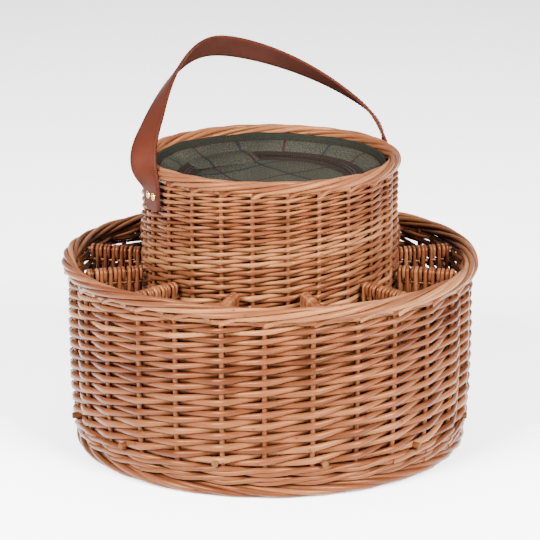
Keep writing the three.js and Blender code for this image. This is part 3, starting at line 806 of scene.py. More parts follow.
def upright_course(number):
    """Side and height of one upright, from the floor over the top stick and back in."""
    sides = [1 if (number + level) % 2 else -1 for level in range(len(HURDLE_STICKS))]
    height = np.linspace(HURDLE_LOW, HURDLE_STICKS[-1], 34)
    level = np.interp(height, HURDLE_STICKS, np.arange(len(sides)))
    side = stepped(sides + [sides[-1]], level) * WRAP
    bend = np.linspace(0, np.pi, 9)
    over_side = sides[-1] * WRAP * np.cos(bend)
    over_height = TOP_STICK_Z + WRAP * np.sin(bend)
    tuck = np.linspace(0, 1, 7)[1:]
    tuck_side = sides[-1] * WRAP * (-1 + 0.85 * tuck**3)
    tuck_height = TOP_STICK_Z - 9.0 * tuck
    return (
        np.concatenate([side, over_side, tuck_side]),
        np.concatenate([height, over_height, tuck_height]),
    )


def hurdle(angle, seed):
    """All rods of one partition, which runs outwards at an angle."""
    dice = np.random.default_rng(seed)
    outward = np.array([math.cos(angle), math.sin(angle), 0])
    across = np.array([-math.sin(angle), math.cos(angle), 0])
    pitch = (HURDLE_OUTER - HURDLE_INNER) / HURDLE_RODS
    rods = []
    for number in range(HURDLE_RODS):
        side, height = upright_course(number)
        reach = HURDLE_INNER + pitch * (number + 0.5) + dice.normal(0, 0.35)
        drift = np.interp(height, [HURDLE_LOW, 110, 205], dice.normal(0, 0.5, 3))
        place = (reach + drift)[:, None] * outward + side[:, None] * across
        place[:, 2] = height
        half = UPRIGHT_HALF * dice.normal(1.0, 0.06) * MM
        rods.append(rod(place * MM, outward, half, half, dice.normal(0.52, 0.2)))
    for height in HURDLE_STICKS[1:] + [TOP_STICK_Z]:
        stick = np.linspace(HURDLE_INNER - 6, HURDLE_OUTER + 4, 8)[:, None] * outward
        stick[:, 2] = height
        half = STICK_HALF * MM
        rods.append(rod(stick * MM, DOWN, half, half, dice.normal(0.45, 0.1)))
    bottom = np.linspace(HURDLE_INNER - 11, STICK_END + seed % 3, 8)[:, None] * outward
    bottom[:, 2] = HURDLE_STICKS[0]
    half = BOTTOM_STICK_HALF * MM
    rods.append(rod(bottom * MM, DOWN, half, half, dice.normal(0.5, 0.1)))
    return rods


for number in range(HURDLES):
    angle = math.radians(FIRST_HURDLE_DEGREES + 360 / HURDLES * number)
    panel = weave(f"hurdle_{number + 1:02d}", hurdle(angle, 80 + number))
    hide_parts(f"partition_{number + 1:02d}")
    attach(panel, "basket")

# %% [markdown]
# ## Leather and brass
# The strap is smooth vegetable-tanned leather. Its outer grain side has a soft gloss,
# its inner flesh side is dull, and its edges are painted darker. The grain is far finer
# than a pixel. The rivets are polished brass.

# %% Leather, thread and brass finishes
STRAP_MAP = "strap"


def leather_face(name, specular, dark, pale):
    made = Finish(name, 0.36, specular=specular, tint=(1.0, 0.55, 0.45))
    where = made.places((14, 14, 1), uv=STRAP_MAP)
    cloud = made.speckle(where, 2.0, dark, pale, detail=4.0, spread=0.25)
    made.roughness(made.span(cloud, 0.3, 0.7, 0.3, 0.42))
    made.bump(made.cells(made.places(uv=STRAP_MAP), 1100.0), 0.12, 0.0002)
    return made.material


def leather_edge():
    made = Finish("leather_edge", 0.5, specular=0.05, tint=(1.0, 0.5, 0.4))
    dark = (0.02, 0.0048, 0.0026)
    pale = (0.034, 0.0084, 0.0042)
    rub = made.speckle(made.places(uv=STRAP_MAP), 240.0, dark, pale)
    made.bump(rub, 0.3, 0.0003)
    return made.material


def thread():
    made = Finish("waxed_thread", 0.6, specular=0.03, tint=(1.0, 0.5, 0.4))
    dark = (0.016, 0.004, 0.0024)
    pale = (0.03, 0.0075, 0.004)
    made.speckle(made.places(), 900.0, dark, pale, detail=2.0)
    return made.material


def brass():
    made = Finish("polished_brass", 0.2, metallic=1.0)
    dark = (0.42, 0.27, 0.085)
    pale = (0.58, 0.4, 0.16)
    haze = made.speckle(made.places(), 300.0, dark, pale, detail=4.0)
    made.roughness(made.span(haze, 0.3, 0.7, 0.14, 0.3))
    return made.material


LEATHER = [
    leather_face("leather_grain", 0.03, (0.0255, 0.0062, 0.0034), (0.0355, 0.009, 0.005)),
    leather_edge(),
    leather_face("leather_flesh", 0.0, (0.028, 0.0092, 0.0066), (0.039, 0.0132, 0.0095)),
]
THREAD = thread()
BRASS = brass()
print("strap finishes:", [m.name for m in LEATHER], THREAD.name, BRASS.name)

# %% [markdown]
# ## The strap's course
# On the real basket the strap is one strip. It is riveted flat to the drum, swings
# out over the rim, and has flopped backwards. Leather twists more easily than it bends
# on edge, so each leg turns its back edge outwards as it leans, and lies flatter again
# towards the crown. The course follows the CAD strap's curve with that twist added,
# and the legs are not quite alike, as the photograph shows.

# %% Sizes of the strap
STRAP_HALF = 15.5
LEATHER_HALF = 1.5
TAIL_X = 142.1
TAIL_HEIGHTS = [271.0, 279, 287, 293]
LAP_X = 145.4
PIVOT_Z = 318.0
STRAP_LEG = 17.0
STRAP_REACH = 160.2
STRAP_UPRIGHT = 24.8
STRAP_SHOULDER = 46.4
LEAN_AT_RIM = 38.0
LEAN_AT_CROWN = 55.2
EDGE_FLARE = 0.8
EDGE_LEAN = 22.0
CROWN_SHIFT = 3.3
SHIFT_RUN = 40.0
# The legs differ: -1 is the left leg and 1 the right one. The left leg stands further
# back, which also keeps it clear of the lid as it opens.
FLARE_FADE = {-1: 3.3, 1: 2.3}
LEAN_FADE = {-1: 0.7, 1: 1.0}
LEG_SHIFT = {-1: 8.0, 1: -2.0}
LEG_BACK = {-1: 5.0, 1: 0.0}
# Where a leg bends over the rim: x, y, z, flare of the edge, lean of the edge.
BEND_KNOTS = [
    (142.5, 0.5, 298, 0.08, 2),
    (144.7, 2.5, 304, 0.26, 6),
    (147.8, 5.5, 311, 0.50, 12),
    (148.4, 9.0, 319, 0.68, 17),
    (146.2, 13.5, 328, 0.78, 20),
]
print("strap width and thickness in mm:", 2 * STRAP_HALF, 2 * LEATHER_HALF)

# %% Course of the strap
def arch_place(share):
    """Sideways distance, height up the leaning plane, and lean, at a share of the half arch."""
    rest = 1 - share
    sideways = LAP_X * (rest**3 + 3 * rest**2 * share) + 3 * STRAP_SHOULDER * rest * share**2
    reach = STRAP_LEG + 3 * STRAP_UPRIGHT * rest**2 * share
    reach += (STRAP_REACH - STRAP_LEG) * (3 * rest * share**2 + share**3)
    lean = math.radians(LEAN_AT_RIM + (LEAN_AT_CROWN - LEAN_AT_RIM) * reach / STRAP_REACH)
    return sideways, reach, lean


def across_way(side, flare, lean):
    """From the front edge to the back edge: outwards by the flare, down by the lean."""
    return (side * flare, math.cos(math.radians(lean)), -math.sin(math.radians(lean)))


def half_course(side):
    """Middle points and across directions from the tail's end up to the crown."""
    middles = [(side * TAIL_X, 0, z) for z in TAIL_HEIGHTS]
    acrosses = [(0, 1, 0)] * len(TAIL_HEIGHTS)
    for x, y, z, flare, lean in BEND_KNOTS:
        middles.append((side * x, y, z))
        acrosses.append(across_way(side, flare, lean))
    for share in np.linspace(0.14, 1, 24):
        sideways, reach, lean = arch_place(share)
        out = sideways / LAP_X
        risen = min(max((reach - STRAP_LEG) / SHIFT_RUN, 0), 1)
        eased = risen * risen * (3 - 2 * risen)
        x = side * sideways + (LEG_SHIFT[side] * out + CROWN_SHIFT * (1 - out)) * eased
        y = reach * math.sin(lean) + LEG_BACK[side] * out * eased
        middles.append((x, y, PIVOT_Z + reach * math.cos(lean)))
        flare = EDGE_FLARE * out ** FLARE_FADE[side]
        edge_lean = EDGE_LEAN + (LEAN_AT_CROWN - EDGE_LEAN) * (1 - out) ** LEAN_FADE[side]
        acrosses.append(across_way(side, flare, edge_lean))
    return middles, acrosses


def smooth_course(values, along, places, passes):
    """Values spread evenly along the course, then eased by running averages."""
    columns = np.array(values, float).T
    values = np.stack([np.interp(places, along, column) for column in columns], 1)
    for _ in range(passes):
        before = 2 * values[:1] - values[3:0:-1]
        after = 2 * values[-1:] - values[-2:-5:-1]
        padded = np.concatenate([before, values, after])
        values = sum(padded[k : k + len(values)] for k in range(7)) / 7
    return values


left_middles, left_acrosses = half_course(-1)
right_middles, right_acrosses = half_course(1)
middles = left_middles + right_middles[-2::-1]
acrosses = left_acrosses + right_acrosses[-2::-1]
knots = np.linalg.norm(np.diff(np.array(middles), axis=0), axis=1)
knots = np.concatenate([[0], np.cumsum(knots)])
strap_places = np.linspace(0, knots[-1], 241)
strap_middle = smooth_course(middles, knots, strap_places, 3)
strap_along = unit(np.gradient(strap_middle, axis=0))
strap_across = smooth_course(acrosses, knots, strap_places, 4)
strap_across -= (strap_across * strap_along).sum(1, keepdims=True) * strap_along
strap_across = unit(strap_across)
strap_out = np.cross(strap_along, strap_across)
print("strap length in mm:", round(float(knots[-1])), "stations:", len(strap_places))

# %% [markdown]
# ## Strap mesh and stitches
# A rounded strip section is swept along the course, with the painted edge as its own
# material. The stitches are small grains of thread, set in two rows on both faces.

# %% Sweep the strap
END_ROUND = 5
GRAIN = 0
EDGE = 1
FLESH = 2


def strap_section():
    """Across and out places of the strip's outline, and the finish of each of its sides."""
    flat = [-14.6, -9.0, -3.0, 3.0, 9.0, 14.6]
    outer = [(across, LEATHER_HALF) for across in flat]
    end = [(15.25, 1.2), (STRAP_HALF, 0.5), (STRAP_HALF, -0.5), (15.25, -1.2)]
    inner = [(across, -LEATHER_HALF) for across in reversed(flat)]
    start = [(-across, out) for across, out in reversed(end)]
    finishes = [GRAIN] * 5 + [EDGE] * 5 + [FLESH] * 5 + [EDGE] * 5
    return np.array(outer + end + inner + start), finishes


def strap_mesh():
    """The section swept along the course, narrower at the rounded ends."""
    section, finishes = strap_section()
    count = len(section)
    stations = len(strap_places)
    from_end = np.minimum(strap_places, strap_places[-1] - strap_places)
    cut = np.clip(END_ROUND - from_end, 0, END_ROUND)
    narrow = (STRAP_HALF - END_ROUND + np.sqrt(END_ROUND**2 - cut**2)) / STRAP_HALF
    sideways = (section[None, :, 0] * narrow[:, None])[..., None]
    outwards = section[None, :, 1][..., None]
    corners = strap_middle[:, None] + strap_across[:, None] * sideways
    corners = corners + strap_out[:, None] * outwards
    faces = []
    sides = []
    places = []
    for station in range(stations - 1):
        here = station * count
        there = here + count
        for point in range(count):
            after = (point + 1) % count
            faces.append((here + point, there + point, there + after, here + after))
            sides.append(finishes[point])
            for step, spot in ((0, point), (1, point), (1, after), (0, after)):
                places.append((section[spot, 0] * MM, strap_places[station + step] * MM))
    last = (stations - 1) * count
    faces += [list(range(count)), list(range(last + count - 1, last - 1, -1))]
    sides += [EDGE, EDGE]
    places += [(0, 0)] * (2 * count)
    mesh = bpy.data.meshes.new("leather_strap")
    mesh.from_pydata((corners.reshape(-1, 3) * MM).tolist(), [], faces)
    for material in LEATHER:
        mesh.materials.append(material)
    mesh.polygons.foreach_set("material_index", sides)
    layer = mesh.uv_layers.new(name=STRAP_MAP)
    layer.data.foreach_set("uv", np.array(places).ravel())
    return mesh


def show(name, mesh, angle=40):
    """Puts a mesh in the scene, smooth up to an angle, with its faces outwards."""
    piece = place_mesh(name, mesh)
    bpy.ops.object.mode_set(mode="EDIT")
    bpy.ops.mesh.select_all(action="SELECT")
    bpy.ops.mesh.normals_make_consistent(inside=False)
    bpy.ops.object.mode_set(mode="OBJECT")
    smooth(piece, angle)
    return piece


strap = show("leather_strap", strap_mesh())
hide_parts("strap_loop", "strap_tail_left", "strap_tail_right")
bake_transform(strap)
print("strap faces:", len(strap.data.polygons))

# %% Stitches along the strap
STITCH_PITCH = 4.0
STITCH_HALF = 1.45
STITCH_ROW = 12.9
THREAD_HALF = 0.42
STITCH_FACES = 15


def stitch_grains():
    """Small five-sided grains along both edges, on both faces of the strap."""
    turns = np.linspace(0, 2 * math.pi, 5, endpoint=False)
    corners = []
    faces = []
    for spot in np.arange(4, strap_places[-1] - 4, STITCH_PITCH):
        station = np.interp(spot, strap_places, np.arange(len(strap_places)))
        low = int(station)
        part = station - low
        middle = strap_middle[low] * (1 - part) + strap_middle[low + 1] * part
        along = strap_along[low]
        across = strap_across[low]
        out = strap_out[low]
        for row in (-STITCH_ROW, STITCH_ROW):
            for face in (-1, 1):
                centre = middle + across * row + out * face * (LEATHER_HALF + 0.05)
                first = len(corners)
                corners.append(centre - along * STITCH_HALF)
                for step in (-0.6, 0.6):
                    for turn in turns:
                        spoke = (across * math.cos(turn) + out * math.sin(turn)) * THREAD_HALF
                        corners.append(centre + along * step * STITCH_HALF + spoke)
                corners.append(centre + along * STITCH_HALF)
                for side in range(5):
                    near = first + 1 + side
                    near_after = first + 1 + (side + 1) % 5
                    faces.append((first, near_after, near))
                    faces.append((near, near_after, near_after + 5, near + 5))
                    faces.append((first + 11, near + 5, near_after + 5))
    mesh = bpy.data.meshes.new("strap_stitches")
    mesh.from_pydata((np.array(corners) * MM).tolist(), [], faces)
    mesh.materials.append(THREAD)
    return mesh


stitches = show("strap_stitches", stitch_grains(), 80)
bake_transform(stitches)
print("stitches:", len(stitches.data.polygons) // STITCH_FACES)

# %% [markdown]
# ## Turning
# Rivets, linings and cloth rings are all round, so they are turned: half an outline
# is drawn as a line of edges, and the spin operator carries it round an axis. The
# doubled points at the seam and the poles are merged, and the faces turned outwards.

# %% Spin helper
def spin(name, outline, steps, material, axis=(0, 0, 1), centre=(0, 0, 0), closed=False):
    """Turns an outline of 3-D points in mm round an axis, into one mesh piece."""
    mesh = bpy.data.meshes.new(name)
    last = len(outline) - 1
    lines = [(point, point + 1) for point in range(last)]
    if closed:
        lines.append((last, 0))
    mesh.from_pydata((np.array(outline) * MM).tolist(), lines, [])
    mesh.materials.append(material)
    piece = place_mesh(name, mesh)
    bpy.ops.object.mode_set(mode="EDIT")
    bpy.ops.mesh.select_all(action="SELECT")
    middle = tuple(np.array(centre) * MM)
    bpy.ops.mesh.spin(steps=steps, angle=2 * math.pi, center=middle, axis=axis)
    bpy.ops.mesh.select_all(action="SELECT")
    bpy.ops.mesh.remove_doubles(threshold=0.00002)
    bpy.ops.mesh.normals_make_consistent(inside=False)
    bpy.ops.object.mode_set(mode="OBJECT")
    smooth(piece, 45)
    print(name, "faces:", len(mesh.polygons))
    return piece


def upright_outline(pairs):
    """Radius and height pairs as points in the XZ plane."""
    return [(radius, 0, height) for radius, height in pairs]


print("spin helper ready")

# %% [markdown]
# ## Rivets
# Each end of the strap is held by two brass rivets: a shank through leather and
# weave, a low head with a fine step and a dimple outside, and a washer inside. The
# washer's CAD solid is right as it is, so it only gets the brass finish.

# %% Rivet heads, and the washers behind them
RIVET_Z = 287.0
RIVET_Y = 5.5
HEAD_X = 143.7
# Half the outline of a rivet: distance from the drum's axis, and radius.
RIVET_OUTLINE = [
    (122.5, 0.0), (122.5, 1.7), (HEAD_X, 1.7), (HEAD_X, 4.1), (144.3, 4.2), (144.7, 4.0),
    (144.8, 3.3), (145.3, 3.0), (145.7, 2.3), (145.6, 1.6), (144.7, 1.2), (144.4, 0.0),
]
for side_name, side in (("left", -1), ("right", 1)):
    for row_name, row in (("front", -1), ("back", 1)):
        middle = (0, row * RIVET_Y, RIVET_Z)
        outline = [(side * x, row * RIVET_Y, RIVET_Z + r) for x, r in RIVET_OUTLINE]
        rivet = spin(f"brass_rivet_{side_name}_{row_name}", outline, 28, BRASS, (1, 0, 0), middle)
        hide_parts(f"rivet_{side_name}_{row_name}")
        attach(rivet, "basket")
        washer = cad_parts[f"rivet_washer_{side_name}_{row_name}"]
        washer.data.materials.clear()
        washer.data.materials.append(BRASS)

# %% [markdown]
# ## Cloth
# The cooler is covered with wool tweed in olive and grey-green yarns, with a thin
# windowpane check: lines of blue and of wine red that take turns, about 50 mm apart.
# The binding is plain olive twill and the zip has a dark brown tape. The check
# follows the cloth, so each cloth piece has a UV map in metres.

# %% Tweed, binding and tape finishes
CLOTH_MAP = "cloth"
CHECK_STEP = 0.052


def woven_threads(made, count):
    """A fine plain weave with the given threads per metre, as a height."""
    parts = made.add("SeparateXYZ", {"Vector": made.places(uv=CLOTH_MAP)}).outputs
    across = made.math("SINE", made.math("MULTIPLY", parts["X"], count * math.pi), 0.0)
    along = made.math("SINE", made.math("MULTIPLY", parts["Y"], count * math.pi), 0.0)
    return made.math("MULTIPLY", across, along), parts


def check_line(made, value, from_edge):
    """How strongly a check line shows; a soft line about 3 mm wide."""
    ping = made.math("PINGPONG", value, CHECK_STEP)
    if from_edge:
        ping = made.math("SUBTRACT", CHECK_STEP, ping)
    return made.span(ping, 0.0008, 0.002, 0.85, 0.0)


def tweed():
    made = Finish("green_tweed", 0.95, specular=0.0)
    height, parts = woven_threads(made, 900.0)
    fleck = made.noise(made.places(uv=CLOTH_MAP), 620.0, 3.0, 0.7)
    stops = [
        (0.3, (0.004, 0.0037, 0.0027)),
        (0.5, (0.0155, 0.0148, 0.0113)),
        (0.7, (0.048, 0.046, 0.035)),
    ]
    colour = made.ramp(fleck, stops)
    cloud = made.noise(made.places(uv=CLOTH_MAP), 22.0, 2.0)
    colour = made.mix(made.span(cloud, 0.35, 0.7, 0.0, 0.3), colour, (0.0095, 0.0088, 0.0062))
    for part in ("X", "Y"):
        blue = check_line(made, parts[part], False)
        red = check_line(made, parts[part], True)
        colour = made.mix(blue, colour, (0.0044, 0.0064, 0.0092))
        colour = made.mix(red, colour, (0.0128, 0.004, 0.0044))
    made.colour(colour)
    made.bump(made.math("ADD", height, fleck), 0.5, 0.0004)
    return made.material


def plain_cloth(name, dark, pale, threads):
    made = Finish(name, 0.92, specular=0.0)
    height, _ = woven_threads(made, threads)
    fleck = made.speckle(made.places(uv=CLOTH_MAP), 500.0, dark, pale, rough=0.6)
    made.bump(made.math("ADD", height, fleck), 0.4, 0.0003)
    return made.material


TWEED = tweed()
BINDING = plain_cloth("olive_binding", (0.0056, 0.0058, 0.0043), (0.0124, 0.0128, 0.0097), 1300.0)
TAPE = plain_cloth("zip_tape_brown", (0.006, 0.0045, 0.0037), (0.0142, 0.0103, 0.0087), 1500.0)
print("cloth:", TWEED.name, BINDING.name, TAPE.name)

# %% [markdown]
# ## Foil, foam and nylon
# The lining is metallised film, which creases in small flat facets. Foam shows its
# closed cells where it is cut, with painted shade in their hollows, and the zip's teeth
# are dull dark nylon.

# %% Foil, foam and zip-teeth finishes
def foil():
    made = Finish("crinkled_foil", 0.28, metallic=0.85)
    made.speckle(made.places(), 35.0, (0.5, 0.52, 0.55), (0.72, 0.73, 0.75), detail=4.0)
    made.bump(made.cells(made.places(), 90.0), 0.35, 0.002)
    return made.material


def foam():
    made = Finish("white_foam", 0.85, specular=0.2)
    bubbles_and_shade = made.cells(made.places(), 700.0)
    # Each cell is darker towards its middle, where the bump dents a hollow: painted shade.
    made.colour(made.ramp(bubbles_and_shade, [(0.1, (0.7, 0.7, 0.66)), (0.7, (0.84, 0.84, 0.8))]))
    made.bump(bubbles_and_shade, 0.4, 0.0006)
    return made.material


def nylon():
    made = Finish("zip_nylon", 0.5, specular=0.1)
    dark = (0.005, 0.0032, 0.0026)
    pale = (0.012, 0.008, 0.0062)
    mark = made.speckle(made.places(), 400.0, dark, pale)
    made.roughness(made.span(mark, 0.3, 0.7, 0.4, 0.6))
    return made.material


FOIL = foil()
FOAM = foam()
NYLON = nylon()
print("linings:", FOIL.name, FOAM.name, NYLON.name)

# %% [markdown]
# ## Cloth maps
# A ring of cloth is cut as a strip and eased into a circle. Its map therefore runs
# along the strip by arc length, and across it by the distance down the slope. A flat
# disc takes its own X and Y, turned a little as the cutter laid it on the cloth.

# %% Map helpers
def strip_map(piece, radius, slope, shift=(0, 0)):
    """UV in metres: arc length at a mean radius and distance along a slope, shifted in mm."""
    mesh = piece.data
    layer = mesh.uv_layers.new(name=CLOTH_MAP)
    for face in mesh.polygons:
        first = None
        for loop in face.loop_indices:
            x, y, z = mesh.vertices[mesh.loops[loop].vertex_index].co
            angle = math.atan2(y, x)
            if first is None:
                first = angle
            angle += 2 * math.pi * round((first - angle) / (2 * math.pi))
            reach = math.hypot(x, y)
            along = angle * radius * MM + shift[0] * MM
            layer.data[loop].uv = (along, slope[0] * reach + slope[1] * z + shift[1] * MM)


def flat_map(piece, turn, shift=(0, 0)):
    """UV in metres from X and Y, turned by an angle in degrees and shifted in mm."""
    mesh = piece.data
    layer = mesh.uv_layers.new(name=CLOTH_MAP)
    cos = math.cos(math.radians(turn))
    sin = math.sin(math.radians(turn))
    for loop in mesh.loops:
        x, y, _ = mesh.vertices[loop.vertex_index].co
        along = cos * x + sin * y + shift[0] * MM
        across = cos * y - sin * x + shift[1] * MM
        layer.data[loop.index].uv = (along, across)


def ease(piece, move):
    """Shifts every point of a piece by move(radius, angle, height), in mm."""
    for corner in piece.data.vertices:
        x, y, z = corner.co
        shift = move(math.hypot(x, y) / MM, math.atan2(y, x), z / MM)
        corner.co += Vector(shift) * MM
    piece.data.update()


print("map helpers ready")

# %% [markdown]
# ## Hidden layers of the cooler
# Behind the tweed the cooler has a cloth jacket, a foam sleeve and floor, and a foil
# lining. They only show when the lid is open, but they are there: a wrinkled jacket,
# soft foam with a rounded lip, and a foil skin that has creased as it was pushed in.

# %% Cloth jacket
RING_STEPS = 120
LINER_LOW = 14
LINER_DEPTH = 284


def wrinkle(amount, waves, seed):
    """A move that ripples a round wall in and out, most at half height."""
    shift = np.random.default_rng(seed).uniform(0, 6.28, 3)

    def move(radius, angle, height):
        level = math.sin(math.pi * min(max((height - LINER_LOW) / LINER_DEPTH, 0), 1))
        ripple = math.sin(waves * angle + shift[0] + 0.02 * height)
        ripple += 0.6 * math.sin((waves + 4) * angle + shift[1] - 0.035 * height)
        inward_by = -amount * level * (0.5 + 0.3 * ripple) * min(radius / 100, 1)
        return (inward_by * math.cos(angle), inward_by * math.sin(angle), 0)

    return move


def wall_levels(radius, low, high):
    """Twelve steps straight up or down a wall."""
    return [(radius, low + (high - low) * step / 12) for step in range(13)]


jacket_outline = [(0, 13.4), (60, 13.4), (118, 13.4), (121.3, 15)] + wall_levels(121.5, 20, 297)
jacket_outline += wall_levels(120.8, 297, 20)
jacket_outline += [(120.4, 15.4), (117.6, 14.1), (60, 14.1), (0, 14.1)]
jacket = spin("cooler_jacket_cloth", upright_outline(jacket_outline), RING_STEPS, BINDING)
ease(jacket, wrinkle(0.5, 9, 91))
strip_map(jacket, 121.0, (0.0, 1.0))
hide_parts("cooler_jacket")
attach(jacket, "basket")

# %% Foam wall and foam base
foam_outline = [(114.6, 14.6)] + wall_levels(120.1, 14.8, 292) + [(119, 294), (116.5, 293.6)]
foam_outline += wall_levels(114.4, 291, 15)
foam_wall = spin("foam_wall", upright_outline(foam_outline), 96, FOAM, closed=True)
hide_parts("foam_sleeve")
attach(foam_wall, "basket")
pad_outline = [(0, 14.5), (60, 14.5), (112.4, 14.5), (113.9, 15.6)]
pad_outline += [(114.0, 18.5), (112.4, 20.2), (60, 20.6), (0, 20.6)]
foam_base = spin("foam_base", upright_outline(pad_outline), 96, FOAM)
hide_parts("foam_floor")
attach(foam_base, "basket")

# %% Foil lining
foil_outline = [(0, 20.9), (50, 20.9), (100, 20.9), (113.2, 21)] + wall_levels(113.9, 24, 290)
foil_outline += wall_levels(113.3, 290, 24)
foil_outline += [(112.6, 21.7), (100, 21.5), (50, 21.5), (0, 21.5)]
foil_skin = spin("foil_skin", upright_outline(foil_outline), RING_STEPS, FOIL)
ease(foil_skin, wrinkle(1.6, 13, 92))
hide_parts("foil_lining")
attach(foil_skin, "basket")

# %% [markdown]
# ## Binding and collar
# Where the liner hangs from the drum, its edge is bound with a strip of olive twill
# that folds over the top of the collar. The collar is a padded ring of tweed that
# slopes down to the zip. It puckers a little because a straight strip was eased into a
# cone, and left of the hinge three pleats take up what was over.

# %% Olive binding
binding_outline = [
    (125.3, 294), (125.6, 298), (125.7, 304), (125.2, 307.6), (123.8, 309.2),
    (122.0, 308.6), (120.9, 305.5), (120.1, 302.2), (119.6, 299.9), (121.3, 299.6),
    (121.9, 303), (122.2, 300), (122.0, 294),
]
binding = spin("olive_binding", upright_outline(binding_outline), RING_STEPS, BINDING, closed=True)


def binding_pucker(radius, angle, height):
    lift = 0.5 * math.sin(7 * angle + 0.4) + 0.35 * math.sin(17 * angle)
    share = min(max((height - 297) / 8, 0), 1)
    return (0, 0, lift * share)


ease(binding, binding_pucker)
strip_map(binding, 123.0, (0.3, 0.95))
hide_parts("liner_binding")
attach(binding, "basket")

# %% Tweed collar
COLLAR_INNER = 100.2
COLLAR_OUTER = 121.2
COLLAR_LOW = 293.4
COLLAR_HIGH = 302.0
COLLAR_PAD = 2.4
PLEATS = [104, 124, 141]


def collar_outline():
    """Top of the collar from the zip up to the binding, then its underside."""
    share = np.linspace(0, 1, 12)
    reach = COLLAR_INNER + (COLLAR_OUTER - COLLAR_INNER) * share
    slope = COLLAR_LOW + (COLLAR_HIGH - COLLAR_LOW) * share
    top = slope + COLLAR_PAD * np.sin(np.pi * share) ** 0.7
    under = slope - COLLAR_PAD
    return list(zip(reach, top)) + list(zip(reach[::-1], under[::-1]))


def collar_pucker(radius, angle, height):
    share = (radius - COLLAR_INNER) / (COLLAR_OUTER - COLLAR_INNER)
    loose = math.sin(math.pi * min(max(share, 0), 1))
    dents = 0.55 * math.sin(6 * angle + 1.0) + 0.4 * math.sin(11 * angle + 2.2 + 2 * share)
    dents += 0.25 * math.sin(23 * angle + 5 * share)
    pleats = sum(math.exp(-(((math.degrees(angle) - place) / 3.5) ** 2)) for place in PLEATS)
    return (0, 0, loose * (1.2 * dents - 2.4 * pleats))


collar = spin("tweed_collar", upright_outline(collar_outline()), 144, TWEED, closed=True)
ease(collar, collar_pucker)
strip_map(collar, 111.0, (0.926, 0.378), (55.9, 35.2))
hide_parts("collar")
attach(collar, "basket")

# %% [markdown]
# ## The zip
# A nylon coil zip closes the lid. One tape is sewn to the collar and one to the lid,
# and each carries a row of small teeth at its free edge. One tooth is modelled from
# a cube with bevelled edges, and then set round the ring, except behind the hinge.

# %% Zip tapes
ZIP_RADIUS = 90.1
ZIP_INNER = 79.6
ZIP_OUTER = 99.9
ZIP_LOW = 287.0
ZIP_HIGH = 293.5
TAPE_GAP = 0.4
TAPE_HALF = 0.5


def zip_height(radius):
    """The zip lies on a slope, because the lid hangs lower than the collar."""
    return ZIP_LOW + (ZIP_HIGH - ZIP_LOW) * (radius - ZIP_INNER) / (ZIP_OUTER - ZIP_INNER)


def tape_outline(inner, outer):
    middle = (inner + outer) / 2
    steps = (inner + 0.3, middle, outer - 0.3)
    top = [(radius, zip_height(radius) + TAPE_HALF) for radius in steps]
    under = [(radius, zip_height(radius) - TAPE_HALF) for radius in reversed(steps)]
    return [(inner, zip_height(inner))] + top + [(outer, zip_height(outer))] + under


def zip_tape(name, inner, outer, node, body):
    piece = spin(name, upright_outline(tape_outline(inner, outer)), RING_STEPS, TAPE, closed=True)
    strip_map(piece, (inner + outer) / 2, (1.0, 0.0))
    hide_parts(node)
    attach(piece, body)


zip_tape("collar_tape", ZIP_RADIUS + TAPE_GAP, ZIP_OUTER, "zip_tape_collar", "basket")
zip_tape("lid_tape", ZIP_INNER, ZIP_RADIUS - TAPE_GAP, "zip_tape_lid", "lid")

# %% Zip teeth
TOOTH_PITCH = 2.1
TOOTH_SIZE = (2.2, 1.25, 1.4)
TOOTH_SEAT = 1.5
TOOTH_LIFT = 1.0
HINGE_HALF_ANGLE = math.radians(20)


def one_tooth():
    """A rounded nylon tooth about the origin: points in mm, and faces."""
    bpy.ops.object.select_all(action="DESELECT")
    bpy.ops.mesh.primitive_cube_add(size=1)
    block = bpy.context.object
    bpy.ops.object.mode_set(mode="EDIT")
    bpy.ops.mesh.select_all(action="SELECT")
    bpy.ops.transform.resize(value=TOOTH_SIZE)
    bpy.ops.mesh.bevel(offset=0.35, segments=1, affect="EDGES")
    bpy.ops.object.mode_set(mode="OBJECT")
    points = np.array([corner.co for corner in block.data.vertices])
    faces = [list(face.vertices) for face in block.data.polygons]
    bpy.data.objects.remove(block)
    return points, faces


def teeth_row(name, radius, offset, body):
    """Teeth all round, except at the hinge; the offset is a share of the pitch."""
    points, faces = one_tooth()
    first_angle = math.pi / 2 + HINGE_HALF_ANGLE
    last_angle = math.pi / 2 + 2 * math.pi - HINGE_HALF_ANGLE
    count = int((last_angle - first_angle) * ZIP_RADIUS / TOOTH_PITCH)
    corners = []
    all_faces = []
    for number in range(count):
        angle = first_angle + (number + offset) * TOOTH_PITCH / ZIP_RADIUS
        cos = math.cos(angle)
        sin = math.sin(angle)
        x = radius + points[:, 0]
        y = points[:, 1]
        z = points[:, 2] + zip_height(radius) + TOOTH_LIFT
        corners.append(np.stack([x * cos - y * sin, x * sin + y * cos, z], 1))
        all_faces += [[corner + len(points) * number for corner in face] for face in faces]
    mesh = bpy.data.meshes.new(name)
    mesh.from_pydata((np.concatenate(corners) * MM).tolist(), [], all_faces)
    mesh.materials.append(NYLON)
    piece = show(name, mesh, 35)
    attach(piece, body)
    print(name, "teeth:", count)


teeth_row("collar_teeth", ZIP_RADIUS + TOOTH_SEAT, 0.0, "basket")
teeth_row("lid_teeth", ZIP_RADIUS - TOOTH_SEAT, 0.5, "lid")

# %% [markdown]
# ## The lid
# The lid is a thin padded disc in the same tweed, with foil below. It is soft: it sags
# into the cooler beside the cloth hinge, and its top crowns a little and has shallow
# dents. It is turned from an outline with many rings, and then eased in code.

# %% Padded lid and its foil
LID_RADIUS = 80.2
LID_LOW = 286.0
LID_EDGE_Z = 288.4
LID_CROWN_Z = 291.4
LID_SAG = 7.0
LID_FOIL_RADIUS = 77.1


